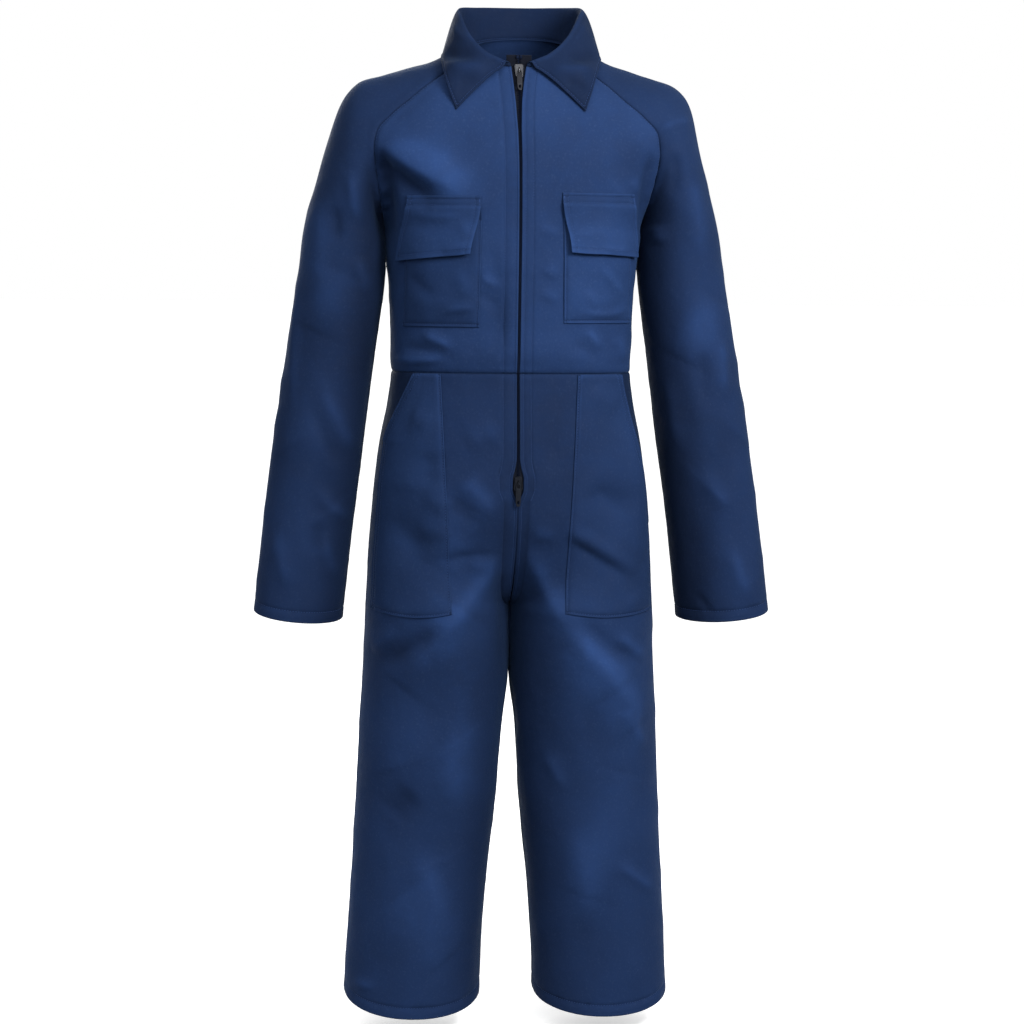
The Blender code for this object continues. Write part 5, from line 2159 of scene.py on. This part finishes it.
@dataclass
class ChestPockets:
    """Two patch pockets on the chest, each with a flap."""

    finishes: Finishes
    fronts: dict[Side, Panel]
    edge_stitch: float = 2.5
    top_stitch: float = 14.0
    flap_stitch: float = 6.0
    flap_top_rows: tuple[float, float] = (4.2, 10.4)
    spacing: float = 2.4
    full: float = 3.0
    gape: float = 4.5

    def puff(self, points: np.ndarray, side: Side) -> np.ndarray:
        """How far the empty pocket stands off the chest.

        Args:
            points: Places on the pocket.
            side: The wearer's side.

        Returns:
            A height for each place.
        """
        inner, outer, top, bottom = (CHEST_POCKET[word][side] for word in ("inner", "outer", "top", "bottom"))
        across = np.clip((np.abs(points[..., 0]) - inner) / (outer - inner), 0, 1)
        inside = ease(top - points[..., 2], 0, 40) * ease(points[..., 2] - bottom, 0, 30)
        return self.full * np.sin(np.pi * across) * inside

    def lay_pocket(self, side: Side, tree: BVHTree) -> Panel:
        """Lay one pocket.

        Args:
            side: The wearer's side.
            tree: Search tree of the front panel.

        Returns:
            The pocket.
        """
        box = {word: values[side] for word, values in CHEST_POCKET.items()}
        across, down = pocket_grid(61, 90)
        x = side * (box["inner"] + (box["outer"] - box["inner"]) * across + box["splay"] * down)
        z = box["top"] + (box["bottom"] - box["top"]) * down
        sewn = Edge(EdgeKind.FOLD, (self.edge_stitch,))
        top = Edge(EdgeKind.FOLD, (self.top_stitch,))
        low = Edge(EdgeKind.FOLD, (self.edge_stitch + 0.8,))
        name = f"cloth_chest_pocket_{side.word}"
        panel = Panel(name, edged(sewn, sewn, top, low), -side, 51 + side, self.spacing, shade=box["shade"])
        away = panel.lay_on(tree, x, z)
        near = nearest(away, ("left", "right", "last"))
        inside = ease(near, 2, 14)
        height = sewn_height(near) + self.puff(panel.points, side)
        height += inside * crease_lift(panel.points[..., FRONT_VIEW], POCKET_CREASES)
        panel.relieve_patch(height + inside * 0.35 * soft_noise(panel.points, (22, 22, 26), 61), away)
        return panel

    def lay_flap(self, side: Side, tree: BVHTree) -> Panel:
        """Lay one flap.

        Args:
            side: The wearer's side.
            tree: Search tree of the front panel.

        Returns:
            The flap.
        """
        flap = {word: values[side] for word, values in CHEST_FLAP.items()}
        across, down = pocket_grid(61, 60)
        inner = flap["inner"] + flap["splay_inner"] * ease(down, 0.12, 1)
        outer = flap["outer"] + flap["splay_outer"] * ease(down, 0.12, 1)
        x = side * (inner + (outer - inner) * across)
        z = flap["top"] + (flap["bottom"] - flap["top"]) * down - flap["slope"] * ease(down, 0.1, 1) * across
        edge = Edge(EdgeKind.FOLD, (self.flap_stitch,), stitch_depth=0.34)
        edges = edged(edge, edge, Edge(EdgeKind.FOLD, self.flap_top_rows, stitch_depth=0.6), edge)
        name = f"cloth_chest_flap_{side.word}"
        panel = Panel(name, edges, -side, 61 + side, self.spacing, FLAP_CLOTH, shade=flap["shade"])
        away = panel.lay_on(tree, x, z)
        down, loose = share_between(away, *LEVEL), ease(away["first"], 8, 20)
        height = 1.8 + ease(down, 0.02, 0.22) * 2.6 + self.puff(panel.points, side)
        height += self.gape * ease(down, 0.35, 1) * (1 - 0.7 * share_between(away, *UPRIGHT))
        height += 0.7 * ease(away["first"], 10.6, 12.5)
        height += loose * crease_lift(panel.points[..., FRONT_VIEW], FLAP_CREASES)
        panel.relieve_patch(height + loose * 0.4 * soft_noise(panel.points, (26, 26, 30), 62), away)
        return panel

    def build(self) -> None:
        """Make the pockets, the flaps, their stitches and their corner bars."""
        sewing = Sewing("stitches_chest_pockets", self.finishes.thread)
        for side, front in self.fronts.items():
            tree = tree_of([front])
            pocket, flap = self.lay_pocket(side, tree), self.lay_flap(side, tree)
            for panel in (pocket, flap):
                panel.build(self.finishes.pocket, "navy_twill_pocket", "laid", (front.name,))
                panel.sew(sewing)
            self.bar_corners(flap, sewing)
        sewing.build()

    def bar_corners(self, flap: Panel, sewing: Sewing) -> None:
        """Put a bar at both ends of the flap's top.

        Args:
            flap: The flap.
            sewing: Where the stitches are gathered.
        """
        first, last = (flap.number("first", row) for row in self.flap_top_rows)
        for word in UPRIGHT:
            column = flap.number(word, 1.6)
            sewing.bar(flap.points[first, column], flap.points[last, column], flap.outward[first, column])


def opening_edge(side: Side, z: np.ndarray) -> np.ndarray:
    """Find how far out a hip pocket's slanted open edge lies, and below it the side edge.

    Args:
        side: The wearer's side.
        z: Heights.

    Returns:
        A distance from the middle for each height.
    """
    step = np.interp(-z, -TROUSER["side_z"], TROUSER["step"])
    side_x = along(TROUSER, "side_x", step) - HIP_POCKET["from_side"]
    top_outer = HIP_POCKET["top_outer"][side]
    return top_outer + (side_x - top_outer) * np.sin(np.pi / 2 * opening_share(side, z)) ** 0.8


def opening_share(side: Side, z: np.ndarray) -> np.ndarray:
    """How far down a hip pocket's opening a height is, from 0 to 1."""
    return np.clip((WAIST_Z - z) / (WAIST_Z - HIP_POCKET["opening_low"][side]), 0, 1)


@dataclass
class HipPockets:
    """Two patch pockets on the hips, each with a slanted open edge and a stitched side and bottom."""

    finishes: Finishes
    fronts: dict[Side, Panel]
    edge_stitch: float = 2.2
    opening_rows: tuple[float, float] = (2.2, 9.0)
    spacing: float = 2.9

    def outline(self, side: Side) -> tuple[np.ndarray, np.ndarray]:
        """Give the outline's close points in the front view.

        Args:
            side: The wearer's side.

        Returns:
            Places across the view and their heights.
        """
        box = HIP_POCKET
        across, down = pocket_grid(71, 150, 1.5)
        low = box["bottom"] - box["sag"] * np.sin(np.pi * across)
        z = WAIST_Z - 0.9 + (low - WAIST_Z) * down
        inner = box["top_inner"][side] + (box["low_inner"][side] - box["top_inner"][side]) * down
        return side * (inner + (opening_edge(side, z) - inner) * across), z

    def lay(self, side: Side) -> Panel:
        """Lay one pocket.

        Args:
            side: The wearer's side.

        Returns:
            The pocket.
        """
        sewn = Edge(EdgeKind.FOLD, (self.edge_stitch,))
        opening = Edge(EdgeKind.FOLD, self.opening_rows)
        low = Edge(EdgeKind.FOLD, (self.edge_stitch + 0.4,))
        edges = edged(sewn, opening, Edge(EdgeKind.SEAM, seam_depth=0.6), low)
        name, shade = f"cloth_hip_pocket_{side.word}", HIP_POCKET["shade"][side]
        panel = Panel(name, edges, -side, 71 + side, self.spacing, shade=shade)
        away = panel.lay_on(tree_of([self.fronts[side]]), *self.outline(side))
        near = nearest(away, ("left", "last"))
        closed = ease(opening_share(side, panel.points[..., 2]), 0.9, 1.0)
        height = sewn_height(np.where(closed > 0.5, np.minimum(near, away["right"]), near))
        down, open_edge = share_between(away, *LEVEL), ease(share_between(away, *UPRIGHT), 0.5, 0.9)
        gape = HIP_POCKET["gape"] * open_edge * np.sin(np.pi * np.clip(down * 1.5, 0, 1))
        height += gape * (1 - 0.5 * closed)
        height = height + ease(near, 2, 16) * 0.45 * soft_noise(panel.points, (28, 28, 34), 71 + side)
        panel.relieve_patch(height, away)
        return panel

    def build(self) -> None:
        """Make the pockets, their stitches and the bars at the ends of their openings."""
        sewing = Sewing("stitches_hip_pockets", self.finishes.thread)
        for side, front in self.fronts.items():
            panel = self.lay(side)
            panel.build(self.finishes.pocket, "navy_twill_pocket", "laid", (front.name,))
            panel.sew(sewing, ("left", "right", "last"))
            outer, inner = (panel.number("right", row) for row in self.opening_rows)
            low = int(np.argmin(np.abs(panel.points[:, outer, 2] - HIP_POCKET["opening_low"][side])))
            sewing.bar(panel.points[low, outer], panel.points[low, inner], panel.outward[low, outer])
        sewing.build()


class Slider(Enum):
    """One of the zip's two sliders, by the word in its pieces' names."""

    TOP = "top"
    BOTTOM = "bottom"


@dataclass
class Zip:
    """The two-way zip: tapes, teeth, stops, two sliders and their pull tabs."""

    finishes: Finishes
    tape_top: float = 8.0
    tape_behind: float = 2.1
    throat_z: float = -3.0
    throat_lean: float = -0.4
    tooth_pitch: float = 1.3
    top_z: float = -9.0
    bottom_z: float = -467.0
    reach_up: float = 3.0
    reach_down: float = 15.0
    half_width: float = 4.9
    half_height: float = 8.0
    depth: float = 3.2
    taper: float = 0.78
    behind_face: float = 1.2
    bail_radius: float = 3.1
    bail_wire: float = 0.7
    axis_out: float = 1.2
    pull_top: float = 0.7
    pull_bottom: float = -25.5
    pull_half: float = 2.9
    pull_thick: float = 1.2
    eye_top: float = -0.65
    eye_bottom: float = -5.0
    eye_half: float = 1.5
    smooth_angle: float = np.radians(38)

    def tape_depth(self, z: np.ndarray | float) -> np.ndarray:
        """Depth of the tapes' middle, which lean back above the throat."""
        below = np.minimum(z, self.throat_z)
        return front_centre(below) + (z - below) * self.throat_lean + self.tape_behind

    def build_tape(self, side: Side) -> None:
        """Make one woven tape.

        Args:
            side: The wearer's side.
        """
        heights = np.linspace(self.tape_top, TAPE_LOW_Z, 400)
        across, z = np.meshgrid(np.linspace(0.25, TAPE_WIDTH, 29), heights)
        dense = np.stack([side * across, self.tape_depth(z), z], -1)
        edge = Edge(EdgeKind.FOLD, fold_radius=0.3, pucker=0.05)
        name = f"cloth_zip_tape_{side.word}"
        panel = Panel(name, edged(edge, edge, edge, edge), -side, 81 + side, 1.6, TAPE)
        panel.lay(dense, (0, len(dense) - 1))
        panel.relieve(0.5 * np.exp(-((panel.distances()["left"] - 1.4) ** 2)), on_posed=True)
        panel.build(self.finishes.tape, "zip_tape", "laid", (f"cloth_front_{side.word}",))

    def build_teeth(self) -> None:
        """Make the rows of teeth, meshed between the sliders and apart above the top one."""
        tooth = bmesh.new()
        bmesh.ops.create_cube(tooth, size=2)
        bevelled(tooth, tooth.edges, 0.3, 1)
        heights = np.arange(self.bottom_z + 6, self.tape_top - 1, self.tooth_pitch)
        frames = np.zeros((len(heights), 4, 4))
        for number, z in enumerate(heights):
            side = 1 if number % 2 else -1
            inner, outer = (-0.75, 2.5) if z < self.top_z else (0.3, 2.9)
            low = min(z, -4.0)
            lean = float(front_centre(low - 2) - front_centre(low + 2)) / 4
            frames[number] = (
                ((outer - inner) / 2 * side, 0, 0, (outer + inner) / 2 * side),
                (0, 0.95, lean * 0.5, self.tape_depth(z) - 0.55),
                (0, -lean * 0.95, 0.52, z),
                (0, 0, 0, 1),
            )
        finished(repeated("zip_teeth", tooth, frames, self.finishes.teeth), (), "garment")

    def build_stops(self) -> None:
        """Make the small clamped stops at the top of both tapes."""
        stop = bmesh.new()
        bmesh.ops.create_cube(stop, size=2)
        bevelled(stop, stop.edges, 0.35, 2)
        z = self.tape_top - 2.2
        y = self.tape_depth(z) - 0.3
        frames = np.array([np.diag((1.5, 1.1, 1.9, 1.0))] * 2)
        frames[:, :3, 3] = ((-1.9, y, z), (1.9, y, z))
        made = repeated("zip_top_stops", stop, frames, self.finishes.teeth)
        made.data.shade_smooth()
        finished(made, (), "garment")

    def slider_shape(self, wide_end: int) -> Shape:
        """Shape a slider: two plates with side flanges, a post between them and a bail in front.

        Args:
            wide_end: 1 where the wide end is up, -1 where it is down.

        Returns:
            The shape in millimetres, its front face at depth 0.
        """
        built = bmesh.new()
        for front, back, size in ((0.0, 1.05, 1.0), (self.depth - 1.0, self.depth, 0.96)):
            plate = bmesh.ops.create_cube(built, size=2)["verts"]
            for vertex in plate:
                vertex.co.x *= self.half_width * self.narrow(vertex.co.z * wide_end) * size
                vertex.co.y = front if vertex.co.y < 0 else back
                vertex.co.z *= self.half_height * size
            edges = joined_edges(plate)
            corners = [edge for edge in edges if abs(edge.verts[0].co.y - edge.verts[1].co.y) > 0.5]
            bevelled(built, corners, 2.3, 4)
        faces = (face for face in built.faces if face.normal.y < -0.9)
        front_face = max(faces, key=lambda face: face.calc_area())
        bmesh.ops.inset_region(built, faces=[front_face], thickness=0.8, depth=0.0)
        bmesh.ops.inset_region(built, faces=[front_face], thickness=0.35, depth=-0.3)
        for across in (-1, 1):
            for vertex in bmesh.ops.create_cube(built, size=2)["verts"]:
                edge = across * self.half_width * self.narrow(vertex.co.z * wide_end) * 0.94
                vertex.co.x = edge + vertex.co.x * 0.42
                vertex.co.y = 0.7 + (vertex.co.y + 1) * (self.depth - 1.4) / 2
                vertex.co.z *= self.half_height * 0.72
        for vertex in bmesh.ops.create_cube(built, size=2)["verts"]:
            vertex.co = Vector((vertex.co.x * 1.3, (vertex.co.y + 1) * self.depth / 2, vertex.co.z * 1.6))
            vertex.co.z += wide_end * self.half_height * 0.72
            vertex.co.y = np.clip(vertex.co.y, 0.4, self.depth - 0.4)
        bevelled(built, sharp_edges(built, 0.9), 0.16, 2)
        wire = bmesh.ops.create_circle(built, segments=12, radius=self.bail_wire)["verts"]
        bmesh.ops.translate(built, verts=wire, vec=Vector((0, self.bail_radius, 0)))
        turn = {"axis": Vector((1, 0, 0)), "cent": Vector((0, 0, 0)), "angle": 2 * np.pi, "steps": 36}
        bmesh.ops.spin(built, geom=joined_edges(wire), use_merge=True, **turn)
        bmesh.ops.remove_doubles(built, verts=built.verts, dist=1e-5)
        bmesh.ops.recalc_face_normals(built, faces=built.faces)
        return built

    def narrow(self, height: float) -> float:
        """How wide a slider is at a height towards its wide end, as a share."""
        return self.taper if height < 0 else 1

    def pull_shape(self) -> Shape:
        """Shape a pull tab: a rounded plate with an eye at the top and a small hole near the end.

        Returns:
            The shape in millimetres.
        """
        built = bmesh.new()
        loops = (
            (self.pull_top, self.pull_bottom, self.pull_half, 0.6, 40),
            (self.eye_top, self.eye_bottom, self.eye_half, 0.6, 24),
            (self.pull_bottom + 6.6, self.pull_bottom + 2.6, 1.25, 0.7, 20),
        )
        for top, bottom, half, corner, count in loops:
            for vertex in bmesh.ops.create_circle(built, segments=count, radius=1)["verts"]:
                x, up = vertex.co.x, vertex.co.y
                vertex.co.x = half * np.sign(x) * abs(x) ** corner
                vertex.co.y = -self.pull_thick / 2
                vertex.co.z = (top + bottom) / 2 + (top - bottom) / 2 * np.sign(up) * abs(up) ** corner
        bmesh.ops.triangle_fill(built, edges=built.edges, use_beauty=True)
        bmesh.ops.recalc_face_normals(built, faces=built.faces)
        plate = list(built.faces)
        if plate[0].normal.y > 0:
            bmesh.ops.reverse_faces(built, faces=plate)
        raised = bmesh.ops.extrude_face_region(built, geom=plate, use_keep_orig=True)["geom"]
        moved = [part for part in raised if isinstance(part, bmesh.types.BMVert)]
        bmesh.ops.translate(built, verts=moved, vec=Vector((0, self.pull_thick, 0)))
        bmesh.ops.recalc_face_normals(built, faces=built.faces)
        bevelled(built, sharp_edges(built, 1.2), 0.22, 2)
        return built

    def made_from(
        self, name: str, built: Shape, metal: Material, place: Vector, lean: float
    ) -> bpy.types.Object:
        """Turn a finished shape into an object in its place.

        Args:
            name: Its name.
            built: The shape in millimetres, freed here.
            metal: Its material.
            place: Its place in millimetres.
            lean: Its angle about its own X axis.

        Returns:
            The object.
        """
        bmesh.ops.transform(built, matrix=Matrix.Rotation(lean, 4, "X"), verts=built.verts)
        bmesh.ops.translate(built, vec=place, verts=built.verts)
        bmesh.ops.scale(built, vec=Vector((MM, MM, MM)), verts=built.verts)
        made = linked(name, built, metal)
        made.data.shade_smooth()
        made.data.set_sharp_from_angle(angle=self.smooth_angle)
        return made

    def build_slider(self, slider: Slider) -> None:
        """Make one slider and its pull tab.

        Args:
            slider: Which of the two.
        """
        if slider is Slider.TOP:
            z, wide_end = self.top_z, 1
            metal, pull_metal = self.finishes.nickel, self.finishes.dark_nickel
        else:
            z, wide_end = self.bottom_z, -1
            metal = pull_metal = self.finishes.black_nickel
        fall = front_centre(z - self.reach_down) - front_centre(z + self.reach_up)
        lean = float(np.arctan2(fall, self.reach_up + self.reach_down))
        face = float(front_centre(z)) + self.tape_behind - self.behind_face - self.depth
        place = Vector((0, face, z))
        name = f"zip_slider_{slider.value}"
        made = self.made_from(f"{name}_shaped", self.slider_shape(wide_end), metal, place, lean)
        finished(made, (name,), "garment")
        place += Matrix.Rotation(lean, 3, "X") @ Vector((0, -self.axis_out, 0))
        name = f"zip_pull_{slider.value}"
        made = self.made_from(f"{name}_shaped", self.pull_shape(), pull_metal, place, lean)
        finished(made, (name,), f"{slider.value}_pull")

    def build(self) -> None:
        """Make the whole zip."""
        for side in Side:
            self.build_tape(side)
        self.build_teeth()
        self.build_stops()
        for slider in Slider:
            self.build_slider(slider)


@dataclass(frozen=True)
class Lamp:
    """One round soft lamp: its power, its width, where it is and where it points, in metres."""

    name: str
    power: float
    width: float
    at: tuple[float, float, float]
    towards: tuple[float, float, float]

    def build(self) -> None:
        """Make the lamp."""
        light = bpy.data.lights.new(self.name, "AREA")
        light.energy, light.shape, light.size = self.power, "DISK", self.width
        made = bpy.data.objects.new(self.name, light)
        made.location = self.at
        made.rotation_euler = (Vector(self.towards) - Vector(self.at)).to_track_quat("-Z", "Y").to_euler()
        bpy.context.scene.collection.objects.link(made)


@dataclass
class Studio:
    """A plain pale floor, soft light and the camera at the photograph's angle, in metres."""

    floor_z: float = -1.1
    floor_half: float = 90.0
    azimuth: float = np.radians(5.5)
    elevation: float = np.radians(4.8)
    roll: float = np.radians(0.5)
    distance: float = 3.2
    target: tuple[float, float, float] = (0.003, 0.0, -0.507)
    focal_pixels: float = 869.565
    image_pixels: float = 1024.0
    sensor: float = 36.0
    sky_front: float = 2.0
    sky_back: float = 0.5
    below: float = 0.08
    lamps: tuple[Lamp, ...] = (
        Lamp("key", 22.0, 0.5, (0.7, -1.1, 0.28), (0.0, 0.0, -0.2)),
        Lamp("back_light", 46.0, 1.6, (-0.5, 2.4, 0.5), (0.0, 0.0, -0.5)),
    )

    def build_floor(self) -> None:
        """Make the floor."""
        plane = bmesh.new()
        bmesh.ops.create_grid(plane, x_segments=8, y_segments=8, size=self.floor_half)
        bmesh.ops.translate(plane, verts=plane.verts, vec=Vector((0, 0, self.floor_z)))
        floor = linked("studio_floor", plane, FloorFinish("studio_floor", (0.96, 0.96, 0.96)).build())
        floor.visible_diffuse = False

    def build_light(self) -> None:
        """Make the light from above and all round, and the lamps."""
        world = bpy.data.worlds.new("studio")
        bpy.context.scene.world = world
        nodes = Nodes(world)
        split = nodes.add("SeparateXYZ", {0: nodes.add("TexCoord").outputs["Generated"]}).outputs
        above = nodes.ranged(split[2], -0.1, 0.15, self.below, 1.0)
        round_about = nodes.ranged(split[1], -0.9, 0.1, self.sky_front, self.sky_back)
        lit = nodes.tree.nodes["Background"]
        nodes.feed(lit, {"Color": WHITE, "Strength": nodes.times(above, round_about)})
        seen = nodes.add("Background", {"Color": WHITE}).outputs[0]
        ray = nodes.add("LightPath").outputs["Is Camera Ray"]
        mix = nodes.add("MixShader", {0: ray, 1: lit.outputs[0], 2: seen}).outputs[0]
        nodes.feed(nodes.tree.nodes["World Output"], {0: mix})
        for lamp in self.lamps:
            lamp.build()
        bpy.context.scene.view_settings.view_transform = "Standard"

    def build_camera(self) -> None:
        """Make the camera."""
        data = bpy.data.cameras.new("camera")
        data.sensor_width = self.sensor
        data.lens = self.sensor * self.distance * self.focal_pixels / self.image_pixels
        data.clip_end = 200
        camera = bpy.data.objects.new("camera", data)
        bpy.context.scene.collection.objects.link(camera)
        flat = np.cos(self.elevation)
        view = Vector((np.sin(self.azimuth) * flat, np.cos(self.azimuth) * flat, -np.sin(self.elevation)))
        camera.location = Vector(self.target) - view * self.distance
        turned = view.to_track_quat("-Z", "Y").to_matrix() @ Matrix.Rotation(self.roll, 3, "Z")
        camera.rotation_euler = turned.to_euler()
        bpy.context.scene.camera = camera

    def build(self) -> None:
        """Make the floor, the light and the camera."""
        self.build_floor()
        self.build_light()
        self.build_camera()
        log.info("studio ready")


def main() -> None:
    """Build the suit and its studio."""
    logging.basicConfig(level=logging.INFO, format="%(message)s")
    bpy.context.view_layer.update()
    finishes = Finishes.built()
    bodice, sleeves, trousers = Bodice(finishes), Sleeves(finishes), Trousers(finishes)
    match_seams(bodice.lay() + sleeves.lay() + trousers.lay())
    for hung in (bodice, sleeves, trousers):
        hung.build()
    body = tree_of([*bodice.panels.values(), *sleeves.panels.values()])
    Collar(finishes, body).build()
    ChestPockets(finishes, {side: bodice.panels[f"front_{side.word}"] for side in Side}).build()
    HipPockets(finishes, {side: trousers.panels[f"leg_front_{side.word}"] for side in Side}).build()
    Zip(finishes).build()
    Studio().build()


if __name__ == "__main__":
    main()
